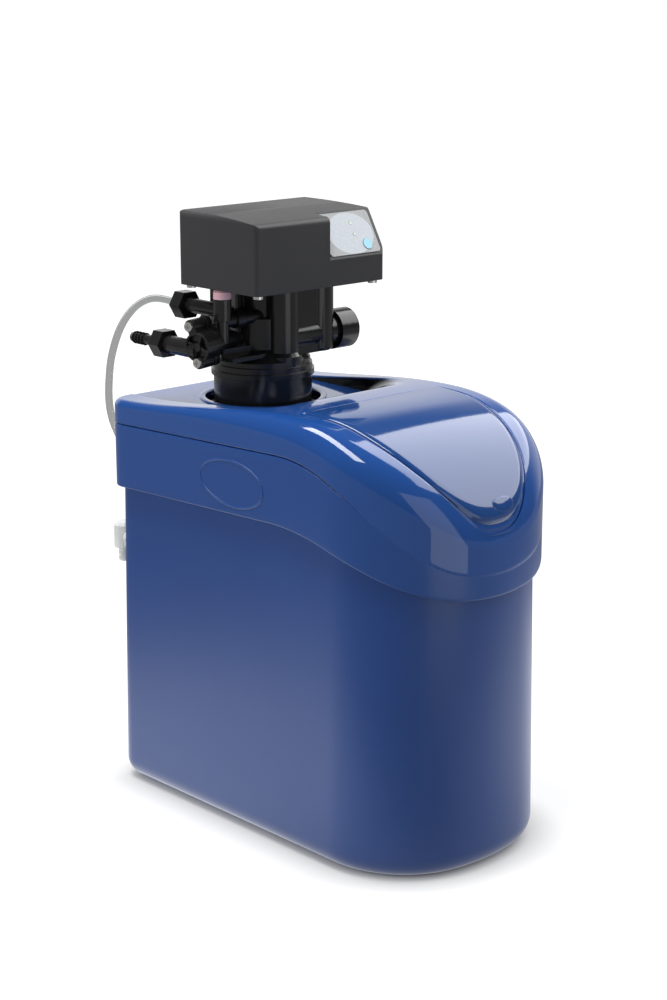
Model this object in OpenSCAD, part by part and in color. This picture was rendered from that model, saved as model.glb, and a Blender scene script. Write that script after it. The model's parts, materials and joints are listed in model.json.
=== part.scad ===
// Water softener with a moulded cabinet, in millimetres.
// x = 0 is the centre plane, the nose faces -y, the flat rear faces +y and z = 0 is the floor.

/* [Cabinet tank] */
// Width of the tank
tank_w = 238; // [228:1:300]
// Length of the tank from the flat rear to the nose
tank_l = 424; // [410:1:520]
// Wall of the tank
tank_wall = 3.5; // [3:0.1:5]
// Radius of the rear corners in plan
corner_r = 20; // [18:1:30]
// Radius of the nose corners in plan
nose_corner_r = 100; // [80:1:110]
// Radius of the nose's front in plan
nose_front_r = 190; // [150:1:260]
// Rounding round the tank's foot
foot_r = 16; // [12:1:24]

/* [Rim band] */
// How far the band and the cover stand out from the tank
band_out = 5; // [4.5:0.1:8]
// Wall of the band
band_wall = 3; // [2.5:0.1:4]
// Height of the band's lower edge at the rear
band_rear_z = 319; // [305:1:325]
// Height of the band's lower edge at the nose
band_nose_z = 269; // [255:1:285]
// Radius of the bend of the band's lower edge
band_bend_r = 265; // [200:5:350]
// How far the tank's rim reaches up inside the band
rim_up = 13; // [10:1:14]

/* [Top cover] */
// Height of the seam under the cover at the rear
seam_rear_z = 384; // [380:1:388]
// Height of the seam under the cover at the nose
seam_nose_z = 291; // [285:1:297]
// Radius of the bend of the seam
seam_bend_r = 160; // [130:5:200]
// Wall of the cover
cover_wall = 4; // [3.5:0.1:5]
// Height of the hump's crest
crest_z = 430; // [428:1:440]
// Height of the cover at the rear edge
cover_rear_z = 409.5; // [406:0.5:416]
// Height of the sunk platform round the neck
platform_z = 409; // [407:0.5:412]
// Distance of the crest from the nose
crest_back = 167; // [160:1:180]
// Rounding of the shoulder along the sides of the hump
shoulder_side = 22; // [16:1:26]
// Rounding of the shoulder at the nose
shoulder_nose = 36; // [30:1:40]
// Rounding of the shoulder at the rear
shoulder_rear = 7; // [6:0.5:12]

/* [Salt lid] */
// Width of the salt lid
lid_w = 178; // [170:1:186]
// Width of the ledge that the lid rests on
lid_ledge = 10; // [8:0.5:14]
// Radius of the hinge pins
hinge_pin_r = 2; // [1.5:0.1:2.4]

/* [Pressure vessel] */
// Diameter of the vessel
vessel_d = 178; // [165:1:184]
// Wall of the vessel
vessel_wall = 3; // [2.5:0.1:4]
// Height of the neck's top face
neck_top_z = 434; // [432:1:445]
// Diameter of the neck ring
neck_d = 100; // [96:1:104]
// Diameter of the riser tube
riser_d = 27; // [25:0.1:32]

/* [Valve] */
// Diameter of a piston column
column_d = 34; // [31:1:38]
// Diameter of a piston bore
piston_bore_d = 24; // [20:1:25]
// Travel of the pistons
piston_travel = 8; // [6:0.5:10]
// Diameter of the turbine cap
turbine_cap_d = 41; // [39:0.5:46]
// Diameter of the water ports
port_d = 26.4; // [24:0.1:28]
// Length of the water ports past the hub
port_l = 48; // [44:1:60]
// Width across flats of the union nuts
nut_af = 26; // [24:1:28]

/* [Control box] */
// Width of the control box
box_w = 170; // [166:1:190]
// Depth of the control box
box_d = 118; // [114:1:132]
// Height of the control box at its rear
box_h = 73.5; // [70:0.5:85]
// Wall of the control box
box_wall = 2.5; // [2:0.1:3]
// Tilt of the control panel
panel_tilt = 60.2; // [55:0.1:65]
// Diameter of the start button
button_d = 11; // [9:0.5:13]
// Travel of the start button
button_travel = 1.5; // [1:0.1:2]

/* [Brine side] */
// Diameter of the brine well
well_d = 42; // [40:0.5:43]
// Outer diameter of the brine tube
tube_d = 8; // [8:0.1:8.4]
// Lift of the brine float
float_lift = 12; // [6:1:14]
// Outer diameter of the barb on the drain
barb_d = 13; // [12:0.1:14]

/* [Hidden] */
$fn = 96;

// Gap of pieces that seat on each other, of free curved fits and of running shafts
seat = 0.2;
free = 0.3;
run = 0.05;

// Plan of the tank: corner centres that follow from the width, the length and the radii
half_w = tank_w / 2;
rear_y = tank_l / 2;
nose_y = -tank_l / 2;
corner_x = half_w - corner_r;
corner_y = rear_y - corner_r;
front_cy = nose_y + nose_front_r;
nose_cx = half_w - nose_corner_r;
nose_cy = front_cy - sqrt(pow(nose_front_r - nose_corner_r, 2) - nose_cx * nose_cx);
nose_angle = 180 + atan2(front_cy - nose_cy, nose_cx);
cover_half = half_w + band_out;
cover_rear = rear_y + band_out;
cover_nose = nose_y - band_out;

// The band's lower edge and the seam: a rear line, a bend and a nose line, [a1, s1, a2, s2, radius]
band_edge = [band_rear_z + 0.032 * cover_rear, 0.032, band_nose_z - 0.505 * cover_nose, 0.505, band_bend_r];
seam_edge = [seam_rear_z + 0.037 * cover_rear, 0.037, seam_nose_z - cover_nose, 1, seam_bend_r];
function slant(s) = sqrt(1 + s * s);
function bend_y(e) = (e[0] - e[4] * slant(e[1]) - e[2] + e[4] * slant(e[3])) / (e[1] + e[3]);
function bend_z(e) = e[2] - e[4] * slant(e[3]) + e[3] * bend_y(e);
function bend_hi(e) = [bend_y(e) + e[4] * e[1] / slant(e[1]), bend_z(e) + e[4] / slant(e[1])];
function bend_lo(e) = [bend_y(e) - e[4] * e[3] / slant(e[3]), bend_z(e) + e[4] / slant(e[3])];
function edge_z(e, y) = y > bend_hi(e)[0] ? e[0] - e[1] * y
    : y < bend_lo(e)[0] ? e[2] + e[3] * y
    : bend_z(e) + sqrt(e[4] * e[4] - pow(y - bend_y(e), 2));

// Cover: crest, form of the hump and the lip that sits inside the band
crest_y = cover_nose + crest_back;
hump_drop = 140;
hump_reach = crest_back + 18;
crown = 4;
seam_gap = 1.2;
lip_in = band_wall + free;
lip_wall = 2.5;
lip_down = 4;

// Lid
lid_rear = crest_y + 4;
lid_front = cover_nose + 5;
lid_l = lid_rear - lid_front;
lid_power = 2.6;
lid_proud = 0.8;
lid_sink = 1.5;
hinge_y = crest_y;
hinge_z = crest_z - 3.2;
hinge_r = hinge_pin_r + 2;
hinge_half = lid_w / 2 - lid_ledge - 2 * free;
ear_w = 6;
pin_in = 7;

// Place of the brine well in the rear corner
well_r = well_d / 2;
well_x = -(half_w - tank_wall - 2.5 - well_r);
well_y = rear_y - tank_wall - 2.5 - well_r;

// Vessel
vessel_r = vessel_d / 2;
// The vessel stands back against the rear wall, or as far forward as the brine well needs
well_reach = vessel_r + well_r + 2;
vessel_y = min(rear_y - tank_wall - 5.5 - vessel_r,
    well_y - sqrt(max(0, well_reach * well_reach - well_x * well_x)));
dome_r = vessel_r * 1.1;
dome_h = sqrt(dome_r * dome_r - vessel_r * vessel_r);
vessel_base = 10;
vessel_lo = vessel_base + dome_r - dome_h;
vessel_hi = neck_top_z - 99;
flange_z = neck_top_z - 37;
stub_r = 47;
stub_in = 42.5;
neck_bore = 36.3;
riser_r = riser_d / 2;
neck_hole_r = neck_d / 2 + 9;
neck_groove_r = 41;

// Pocket of the cover round the neck
pocket_front = vessel_y - neck_hole_r - 13;
pocket_half = half_w - 27;
pocket_top_half = half_w - 7;

// Valve: heights over the neck and positions of the columns
nz = neck_top_z;
column_r = column_d / 2;
bore_r = piston_bore_d / 2;
front_column = [0, vessel_y - 30];
side_column = [47, vessel_y - 30];
rear_column = [-38, vessel_y + 10];
columns = [front_column, side_column, rear_column];
column_top = nz + 92;
bore_floor = nz + 48;
piston_z = bore_floor + 2;
piston_h = 22;
barrel_z = nz + 40;
barrel_y = vessel_y - 30;
turbine_x = 57;
barrel_end = turbine_x + 18;
cap_face = turbine_x + 34;
cap_edge = 3;
cap_floor = barrel_end + 6;
axle_end = cap_floor - 2;
cap_r = turbine_cap_d / 2;
turbine_r = cap_r - 9;
port_r = port_d / 2;
inlet_x = -4;
outlet_x = 46;
port_end = vessel_y + 34 + port_l;

// Drain and brine branches on the near side of the valve
drain_y = vessel_y - 16;
drain_disc_y = drain_y + 2;
drain_face = -79;
drain_out_x = -94;
drain_turn = 15;
drain_pivot_x = -90;
drain_out_z = barrel_z - 4;
drain_outer = -100;
drain_screw_yz = [[drain_y + 9.8, barrel_z + 20], [drain_y, barrel_z - 15]];
injector_x = -66;
injector_top = nz + 84;
brine_z = nz + 72;
union_y = vessel_y + 34;
nut_l = 15;
barb_end = union_y + 57;

// Control box
box_z = column_top + 4;
box_top = box_z + box_h;
box_y = vessel_y - 31;
box_front = box_y - box_d / 2;
box_rear = box_y + box_d / 2;
box_half = box_w / 2;
box_crown_r = 1200;
panel_x = 9.8;
panel_z = box_z + 26;
panel_from = panel_x + 2.5;
panel_w = box_half - 5 - panel_from;
panel_l = 45;
panel_end = panel_from + panel_w;
button_at = [panel_end - 14.8, 11.9];
led_at = [[panel_end - 27.5, 35.6], [panel_end - 27.4, 23.6]];
board_depth = 13;
screw_x = box_half - 9;
screw_y = box_d / 2 - 9;
base_t = 3;

// Timing gear train inside the box
gear_teeth = 40;
pinion_teeth = 12;
gear_m = 1;
gear_at = [-4, box_y + 12];
gear_gap = (gear_teeth + pinion_teeth) * gear_m / 2;
pinion_at = [gear_at[0] - gear_gap, gear_at[1]];
distributor_r = 18;
distributor_h = 10;
gear_z = box_z + base_t + distributor_h + 2;
gear_t = 5;

// Brine side
well_base = tank_wall + 6.5;
well_top = band_rear_z - 19;
well_wall = 1.5;
riser_y = well_y - 9;
float_y = well_y + 8;
float_r = 10;
rod_r = 1.5;
overflow_z = band_rear_z - 64;
tube_r = tube_d / 2;
grommet_z = band_rear_z + 33;
grommet_r = tube_r + 2.3;

// Route of the brine tube from the union nut over the rear edge, through the band and down to the riser
tube_route = [
    [injector_x, union_y + 10, brine_z],
    [injector_x, union_y + 27, brine_z],
    [injector_x, union_y + 44, brine_z + 1],
    [-66, 208, 506],
    [-67, 223, 501],
    [-69, 237, 492],
    [-71, 249, 480],
    [-73, 258, 466],
    [-75, 264, 450],
    [-78, 267, 433],
    [-80, 267, 417],
    [-83, 265, 401],
    [-86, 260, 386],
    [-88, 252, 372],
    [-90, 241, 361],
    [well_x, rear_y + 16, grommet_z + 2],
    [well_x, rear_y + 4, grommet_z],
    [well_x, rear_y - 6, grommet_z - 1],
    [well_x, rear_y - 16, grommet_z - 5],
    [well_x, riser_y + 10, grommet_z - 13],
    [well_x, riser_y + 3, grommet_z - 24],
    [well_x, riser_y, grommet_z - 37],
    [well_x, riser_y, grommet_z - 48]
];
tube_sides = 12;

// Colours
blue = [0.17, 0.29, 0.56];
black = [0.12, 0.12, 0.12];
charcoal = [0.22, 0.22, 0.22];
pale = [0.86, 0.87, 0.88];
steel = [0.72, 0.72, 0.72];
rubber = [0.08, 0.08, 0.08];

// Every sub-part by name
// Sub-part to draw

// Plain helpers: rods along an axis from one coordinate to another
module rod_x(from, to, y, z, r, sides = $fn) {
    translate([from, y, z])
        rotate([0, 90, 0])
            cylinder(h = to - from, r = r, $fn = sides);
}

module rod_y(from, to, x, z, r, sides = $fn) {
    translate([x, to, z])
        rotate([90, 0, 0])
            cylinder(h = to - from, r = r, $fn = sides);
}

module rod_z(from, to, x, y, r, sides = $fn) {
    translate([x, y, from])
        cylinder(h = to - from, r = r, $fn = sides);
}

module taper_y(from, to, x, z, r_from, r_to) {
    translate([x, to, z])
        rotate([90, 0, 0])
            cylinder(h = to - from, r1 = r_to, r2 = r_from);
}

module ring_z(r_major, r_section) {
    rotate_extrude()
        translate([r_major, 0])
            circle(r_section, $fn = 32);
}

module rounded_square(w, l, r) {
    translate([r, 0])
        square([w - 2 * r, l]);
    translate([0, r])
        square([w, l - 2 * r]);
    for (x = [r, w - r])
        for (y = [r, l - r])
            translate([x, y])
                circle(r, $fn = 48);
}

// Outline of the cabinet in plan, moved inwards by inset
module plan(inset, sides = 144) {
    translate([-half_w + inset, nose_cy])
        square([tank_w - 2 * inset, corner_y - nose_cy]);
    translate([-corner_x, corner_y - 1])
        square([2 * corner_x, corner_r + 1 - inset]);
    translate([-nose_cx, nose_cy - nose_corner_r + inset + 1])
        square([2 * nose_cx, nose_corner_r - inset]);
    for (side = [-1, 1]) {
        translate([side * corner_x, corner_y])
            circle(corner_r - inset, $fn = sides);
        translate([side * nose_cx, nose_cy])
            circle(nose_corner_r - inset, $fn = sides);
    }
    reach = nose_front_r * 1.2;
    spread = reach * nose_cx / (front_cy - nose_cy);
    intersection() {
        translate([0, front_cy])
            circle(nose_front_r - inset, $fn = 2 * sides);
        polygon([[0, front_cy], [spread, front_cy - reach], [-spread, front_cy - reach]]);
    }
}

// Everything below a line-bend-line edge, raised by up
module below(e, up) {
    far = 2 * tank_l;
    translate([-tank_w, 0, up])
        rotate([90, 0, 90])
            linear_extrude(2 * tank_w) {
                polygon([[far, -far], [far, e[0] - e[1] * far], bend_hi(e), bend_lo(e),
                    [-far, e[2] - e[3] * far], [-far, -2 * far]]);
                translate([bend_y(e), bend_z(e)])
                    circle(e[4], $fn = 360);
            }
}

module band_oval(grow) {
    translate([0, 20, seam_rear_z - 28])
        rotate([90, 0, 90])
            linear_extrude(tank_w + 2 * band_out + 1.6, center = true)
                rotate(2)
                    scale([1, 0.5])
                        circle(47 + grow, $fn = 64);
}

module rim_band() {
    color(blue)
        difference() {
            union() {
                intersection() {
                    linear_extrude(crest_z)
                        difference() {
                            plan(-band_out);
                            plan(band_wall - band_out);
                        }
                    difference() {
                        below(seam_edge, 0);
                        below(band_edge, 0);
                    }
                }
                intersection() {
                    linear_extrude(crest_z)
                        difference() {
                            plan(band_wall / 2 - band_out);
                            plan(tank_wall);
                        }
                    difference() {
                        below(band_edge, rim_up + seat + 3);
                        below(band_edge, rim_up + seat);
                    }
                }
                difference() {
                    band_oval(0);
                    band_oval(-2.5);
                    cube([tank_w + 2 * band_out - 2, tank_l, 2 * crest_z], center = true);
                }
            }
            rod_y(rear_y, rear_y + 2 * band_out, well_x, grommet_z, grommet_r + 0.1);
        }
}

// Top surface of the cover: rear slope, hump over the nose and its cross crown
function ease(t) = t <= 0 ? 0 : t >= 1 ? 1 : t * t * (3 - 2 * t);
function top_z(x, y) = y >= crest_y
    ? crest_z - (crest_z - cover_rear_z) * ease((y - crest_y) / (cover_rear - crest_y))
    : crest_z - hump_drop * (1 - sqrt(1 - pow((crest_y - y) / hump_reach, 2)))
        + crown * (1 - pow(x / cover_half, 2)) * ease((crest_y - y) / 60);
function shoulder(y) = shoulder_rear
    + (shoulder_side - shoulder_rear) * ease((cover_rear - 60 - y) / (cover_rear - 60 - nose_cy))
    + (shoulder_nose - shoulder_side) * ease((nose_cy - y) / (nose_cy - cover_nose));

// Distance inside the cover's outline, and the skin with its rounded shoulder
function edge_gap(x, y) = y > nose_cy ? cover_half - abs(x)
    : abs(x) * (front_cy - nose_cy) < nose_cx * (front_cy - y)
        ? nose_front_r + band_out - norm([x, y - front_cy])
        : nose_corner_r + band_out - norm([abs(x) - nose_cx, y - nose_cy]);
function shoulder_drop(d, r) = d >= r ? 0 : r * (1 - sqrt(1 - pow(1 - max(d, 0) / r, 2)));
function skin_z(x, y) = top_z(x, y) - shoulder_drop(edge_gap(x, y), shoulder(y));

// Points of an outline with their inward directions: [x, y, inward x, inward y]
function arc_points(cx, cy, r, from, to, n) = [for (i = [0:n])
    let (a = from + (to - from) * i / n)
        [cx + r * cos(a), cy + r * sin(a), -cos(a), -sin(a)]];
function side_points(from, to, n) = [for (i = [1:n - 1])
    [-cover_half, from + (to - from) * i / n, 1, 0]];
function flip(p) = [-p[0], p[1], -p[2], p[3]];

// Loft between loops: a loop runs down the left side, along the front, up the right side and along the rear
side_rows = 23;
front_cols = 8;
loop_n = 2 * (side_rows + front_cols);
left_points = concat(
    arc_points(-corner_x, corner_y, corner_r + band_out, 90, 180, 4),
    side_points(corner_y, nose_cy, 9),
    arc_points(-nose_cx, nose_cy, nose_corner_r + band_out, 180, nose_angle, 10));
front_points = arc_points(0, front_cy, nose_front_r + band_out, nose_angle, 540 - nose_angle, front_cols);
cover_loop = concat(
    left_points,
    [for (j = [1:front_cols - 1]) front_points[j]],
    [for (i = [side_rows:-1:0]) flip(left_points[i])],
    [for (j = [front_cols - 1:-1:1])
        [(2 * j / front_cols - 1) * corner_x, cover_rear, 0, -1]]);

function patch(loop) = [for (i = [0:side_rows]) for (j = [0:front_cols])
    let (t = j / front_cols, a = loop[i], b = loop[2 * side_rows + front_cols - i])
        i == side_rows ? loop[i + j] : a * (1 - t) + b * t];
function patch_index(k) = k <= side_rows ? k * (front_cols + 1)
    : k <= side_rows + front_cols ? side_rows * (front_cols + 1) + k - side_rows
    : k <= 2 * side_rows + front_cols
        ? (2 * side_rows + front_cols - k) * (front_cols + 1) + front_cols
        : loop_n - k;
function patch_faces(first, up) = [
    for (i = [0:side_rows - 1]) for (j = [0:front_cols - 1]) for (half = [0, 1])
    let (a = first + i * (front_cols + 1) + j, b = a + front_cols + 2)
        half == 0 ? (up ? [a, a + 1, b] : [a, b, a + 1])
            : (up ? [a, b, b - 1] : [a, b - 1, b])];
function wall_faces(low, high) = [for (k = [0:loop_n - 1]) for (half = [0, 1])
    let (n = (k + 1) % loop_n)
        half == 0 ? [high[k], high[n], low[n]] : [high[k], low[n], low[k]]];

// Solid between a bottom patch, rings of points and a top patch
module loft(bottom, rings, top) {
    count = (side_rows + 1) * (front_cols + 1);
    low = [for (k = [0:loop_n - 1]) patch_index(k)];
    ring_index = [for (r = [0:len(rings) - 1]) [for (k = [0:loop_n - 1]) count + r * loop_n + k]];
    top_first = count + len(rings) * loop_n;
    high = [for (k = [0:loop_n - 1]) top_first + patch_index(k)];
    loops = concat([low], ring_index, [high]);
    polyhedron(
        points = concat(bottom, [for (r = rings) for (p = r) p], top),
        faces = concat(
            patch_faces(0, false),
            [for (r = [0:len(loops) - 2]) each wall_faces(loops[r], loops[r + 1])],
            patch_faces(top_first, true)));
}

function inset_point(p, d) = [p[0] + p[2] * d, p[1] + p[3] * d];
function seam_ring(d, up) = [for (p = cover_loop)
    let (q = inset_point(p, d))
        [q[0], q[1], edge_z(seam_edge, q[1]) + up]];
function shoulder_ring(wall, a) = [for (p = cover_loop)
    let (r = shoulder(p[1]) - wall, q = inset_point(p, wall + r * (1 - cos(a))))
        [q[0], q[1], top_z(q[0], q[1]) - wall - r * (1 - sin(a))]];
function flat_loop(ring) = [for (p = ring) [p[0], p[1]]];
function top_patch(wall) = [for (q = patch(flat_loop(shoulder_ring(wall, 90))))
    [q[0], q[1], top_z(q[0], q[1]) - wall]];
function seam_patch(d, up) = [for (q = patch(flat_loop(seam_ring(d, up))))
    [q[0], q[1], edge_z(seam_edge, q[1]) + up]];

// Solid form of the tank with a rounded foot
function tank_ring(inset, z) = [for (p = cover_loop)
    let (q = inset_point(p, band_out + inset))
        [q[0], q[1], z]];
function tank_patch(inset, z) = [for (q = patch(flat_loop(tank_ring(inset, z)))) [q[0], q[1], z]];

module tank_form(inset, r, base) {
    loft(tank_patch(inset + r, base),
        [for (a = [18, 36, 54, 72, 90]) tank_ring(inset + r * (1 - sin(a)), base + r * (1 - cos(a)))],
        tank_patch(inset, seam_rear_z));
}

module cabinet_tank() {
    color(blue)
        difference() {
            intersection() {
                tank_form(0, foot_r, 0);
                below(band_edge, rim_up);
            }
            tank_form(tank_wall, foot_r - tank_wall, tank_wall);
            rod_y(rear_y - 2 * tank_wall, rear_y + 1, well_x, overflow_z, 8 + free);
        }
}

module cover_skin() {
    loft(seam_patch(lip_in, -lip_down),
        concat([seam_ring(lip_in, seam_gap), seam_ring(0, seam_gap)],
            [for (a = [0, 18, 36, 54, 72]) shoulder_ring(0, a)]),
        top_patch(0));
}

module cover_hollow() {
    loft(seam_patch(lip_in + lip_wall, -2 * lip_down),
        [for (a = [0, 30, 60]) shoulder_ring(cover_wall + 2, a)],
        top_patch(cover_wall));
}

// Sunk platform, open to the rear
module pocket(grow) {
    rear = cover_rear + 60;
    hull() {
        for (side = [-1, 1]) {
            translate([side * (pocket_half - 30), pocket_front + 30, platform_z - grow])
                cylinder(h = 0.02, r = 30 + grow, $fn = 40);
            translate([side * (pocket_top_half - 45), pocket_front - 48 + 45, crest_z + 4])
                cylinder(h = 0.02, r = 45 + grow, $fn = 40);
            translate([side * (pocket_half - 30), rear, platform_z - grow])
                cylinder(h = 0.02, r = 30 + grow, $fn = 40);
            translate([side * (pocket_top_half - 45), rear, crest_z + 4])
                cylinder(h = 0.02, r = 45 + grow, $fn = 40);
        }
    }
}

// Outline of the lid as a loop, drawn in by inset
function power_sign(v, n) = sign(v) * pow(abs(v), n);
function lid_point(a, inset) = [
    (lid_w / 2 - inset) * power_sign(cos(a), 2 / lid_power),
    lid_rear - (lid_l - inset) * power_sign(sin(a), 2 / lid_power)];
lid_split = 78;
function lid_loop(inset) = concat(
    [for (i = [0:side_rows]) let (p = lid_point(lid_split * i / side_rows, inset)) [-p[0], p[1]]],
    [for (j = [1:front_cols - 1])
        let (p = lid_point(lid_split + (180 - 2 * lid_split) * j / front_cols, inset)) [-p[0], p[1]]],
    [for (i = [side_rows:-1:0]) lid_point(lid_split * i / side_rows, inset)],
    [for (j = [front_cols - 1:-1:1]) [(2 * j / front_cols - 1) * (lid_w / 2 - inset), lid_rear]]);

module lid_block(inset, low, high) {
    flat = patch(lid_loop(inset));
    loft([for (q = flat) [q[0], q[1], skin_z(q[0], q[1]) - low]],
        [],
        [for (q = flat) [q[0], q[1], top_z(q[0], q[1]) + high]]);
}

// The lid itself: the same block with its upper edge rounded in keeping with the height of its lip
lid_centre = [0, lid_rear - 0.4 * lid_l];
function lid_lip(p) = 0.6 + 0.4 * (top_z(p[0], p[1]) + lid_proud - skin_z(p[0], p[1]));
function lid_ring(a) = [for (p = lid_loop(0))
    let (r = lid_lip(p), q = p + unit(lid_centre - p) * r * (1 - cos(a)))
        [q[0], q[1], top_z(q[0], q[1]) + lid_proud - r * (1 - sin(a))]];

module lid_form() {
    loft([for (q = patch(lid_loop(0))) [q[0], q[1], skin_z(q[0], q[1]) - lid_sink]],
        [for (a = [0, 22.5, 45, 67.5]) lid_ring(a)],
        [for (q = patch(flat_loop(lid_ring(90)))) [q[0], q[1], top_z(q[0], q[1]) + lid_proud]]);
}

module top_cover() {
    color(blue)
        difference() {
            union() {
                difference() {
                    cover_skin();
                    difference() {
                        cover_hollow();
                        pocket(cover_wall);
                    }
                    pocket(0);
                    lid_block(-0.5, lid_sink + free, 12);
                    lid_block(lid_ledge, 60, 12);
                    rod_x(-hinge_half - ear_w - 1, hinge_half + ear_w + 1, hinge_y, hinge_z, hinge_r + 0.5);
                }
                for (side = [-1, 1])
                    translate([side * (hinge_half + 0.5 + ear_w / 2) - ear_w / 2, 0, 0]) {
                        rod_x(0, ear_w, hinge_y, hinge_z, hinge_r - free);
                        translate([0, hinge_y - hinge_r + 1, hinge_z - 7])
                            cube([ear_w, hinge_r + 5, 7]);
                    }
                rod_z(platform_z - cover_wall / 2, platform_z + 1.5, 0, vessel_y, neck_hole_r + 6);
            }
            rod_z(platform_z - 20, platform_z + 20, 0, vessel_y, neck_hole_r);
            rod_x(-hinge_half - pin_in, hinge_half + pin_in, hinge_y, hinge_z, hinge_pin_r);
        }
}

module salt_lid() {
    color(blue)
        difference() {
            union() {
                difference() {
                    lid_form();
                    translate([-lid_w, hinge_y - hinge_r, hinge_z - 40])
                        cube([2 * lid_w, 40, 80]);
                }
                rod_x(-hinge_half, hinge_half, hinge_y, hinge_z, hinge_r);
                translate([-hinge_half, hinge_y - hinge_r - 3, hinge_z - 2])
                    cube([2 * hinge_half, hinge_r + 3, 4]);
            }
            for (side = [-1, 1])
                rod_x(side * hinge_half - pin_in - 1, side * hinge_half + pin_in + 1, hinge_y, hinge_z,
                    hinge_pin_r + run);
        }
}

module lid_hinge_pins() {
    color(steel)
        for (side = [-1, 1])
            rod_x(side * (hinge_half + 0.5) - pin_in + 1, side * (hinge_half + 0.5) + pin_in - 1,
                hinge_y, hinge_z, hinge_pin_r);
}

module brine_well() {
    color(pale)
        difference() {
            union() {
                rod_z(well_base, well_top, well_x, well_y, well_r);
                rod_z(tank_wall + seat, well_base + 1, well_x, well_y, 11);
            }
            rod_z(well_base + 2, well_top + 1, well_x, well_y, well_r - well_wall);
            rod_z(0, well_base + 3, well_x, well_y, 9);
            rod_y(well_y, rear_y, well_x, overflow_z, 8 + free);
            for (up = [60, 75, 90])
                translate([well_x - well_d, well_y - 3, up])
                    cube([2 * well_d, 6, 8]);
        }
}

module brine_well_cap() {
    color(black)
        difference() {
            union() {
                rod_z(well_top + seat, well_top + 6, well_x, well_y, well_r);
                rod_z(well_top - 8, well_top + 1, well_x, well_y, well_r - well_wall - 0.1);
            }
            rod_z(well_top - 9, well_top + 2.5, well_x, well_y, well_r - 4);
            rod_z(well_top, well_top + 7, well_x, riser_y, tube_r + 1.5);
            rod_z(well_top, well_top + 7, well_x, float_y, rod_r + run);
        }
}

module brine_riser() {
    color(pale)
        difference() {
            union() {
                rod_z(well_base + 30, well_top + 12, well_x, riser_y, tube_r + 1.4);
                rod_z(well_top + 6.2, well_top + 12, well_x, riser_y, tube_r + 3);
            }
            rod_z(well_base + 29, well_top + 13, well_x, riser_y, tube_r - 1.2);
            rod_z(well_top + 3, well_top + 13, well_x, riser_y, tube_r + 0.1);
        }
}

module air_check() {
    color(charcoal)
        difference() {
            rod_z(well_base + 2.2, well_base + 34, well_x, well_y, well_r - 4);
            rod_z(well_base + 4.2, well_base + 28, well_x, well_y, well_r - 6);
            rod_z(well_base + 29.8, well_base + 35, well_x, riser_y, tube_r + 1.5);
            rod_z(well_base + 20, well_base + 35, well_x, riser_y, tube_r - 1.2);
            rod_z(well_base + 20, well_base + 35, well_x, float_y, rod_r + run);
            for (a = [0:60:120])
                translate([well_x, well_y, well_base + 15])
                    rotate(a)
                        cube([well_d, 5, 14], center = true);
        }
}

module float_rod() {
    color(steel)
        rod_z(well_base + 34.5 - float_lift, well_top + 10, well_x, float_y, rod_r, 32);
}

module brine_float() {
    color(pale)
        difference() {
            rod_z(band_rear_z - 169, band_rear_z - 134, well_x, float_y, float_r);
            rod_z(band_rear_z - 170, band_rear_z - 130, well_x, float_y, rod_r, 32);
        }
}

module overflow_elbow() {
    spout_y = rear_y + 20;
    color(pale)
        difference() {
            union() {
                rod_y(rear_y + 1.6, rear_y + 5, well_x, overflow_z, 13);
                rod_y(well_y + 10.5, spout_y, well_x, overflow_z, 8);
                rod_z(overflow_z - 12, overflow_z + 12, well_x, spout_y, 11);
                translate([well_x, spout_y, overflow_z + 12])
                    cylinder(h = 3, r1 = 11, r2 = 8);
                rod_z(overflow_z - 27, overflow_z - 11, well_x, spout_y, 6);
                for (up = [-27, -22, -17])
                    translate([well_x, spout_y, overflow_z + up])
                        cylinder(h = 4, r1 = 6, r2 = 7);
            }
            rod_z(overflow_z - 28, overflow_z, well_x, spout_y, 4.5);
            rod_y(well_y, spout_y, well_x, overflow_z, 5.5);
        }
}

module overflow_gasket() {
    color(rubber)
        difference() {
            rod_y(rear_y + 0.1, rear_y + 1.5, well_x, overflow_z, 13);
            rod_y(rear_y - 1, rear_y + 3, well_x, overflow_z, 8 + free);
        }
}

module overflow_nut() {
    color(pale)
        difference() {
            rod_y(well_y + 10.6, well_y + 15.4, well_x, overflow_z, 11.5, 6);
            rod_y(well_y + 10, well_y + 16, well_x, overflow_z, 8);
        }
}

module tube_grommet() {
    inner = rear_y + band_out - band_wall;
    color(rubber)
        difference() {
            union() {
                rod_y(inner - 2, cover_rear + 2, well_x, grommet_z, grommet_r);
                rod_y(inner - 2, inner - 0.1, well_x, grommet_z, grommet_r + 2);
                rod_y(cover_rear + 0.1, cover_rear + 2, well_x, grommet_z, grommet_r + 2);
            }
            rod_y(inner - 3, cover_rear + 3, well_x, grommet_z, tube_r + 0.6);
        }
}

// Tube swept along its route: a ring of points square to the path at every route point
function unit(v) = v / norm(v);
function heading(i) = unit(tube_route[min(i + 1, len(tube_route) - 1)] - tube_route[max(i - 1, 0)]);
function tube_ring(i) = let (t = heading(i), u = unit(cross(t, [1, 0, 0.1])), v = cross(t, u))
    [for (k = [0:tube_sides - 1]) let (a = 360 * k / tube_sides)
        tube_route[i] + tube_r * (u * cos(a) + v * sin(a))];

module brine_tube() {
    last = len(tube_route) - 1;
    color([0.8, 0.84, 0.86])
        polyhedron(
            points = [for (i = [0:last]) each tube_ring(i)],
            faces = concat(
                [[for (k = [tube_sides - 1:-1:0]) k]],
                [for (i = [0:last - 1]) for (k = [0:tube_sides - 1]) for (half = [0, 1])
                    let (a = i * tube_sides + k, b = i * tube_sides + (k + 1) % tube_sides)
                        half == 0 ? [a, b, b + tube_sides] : [a, b + tube_sides, a + tube_sides]],
                [[for (k = [0:tube_sides - 1]) last * tube_sides + k]]));
}

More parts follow.
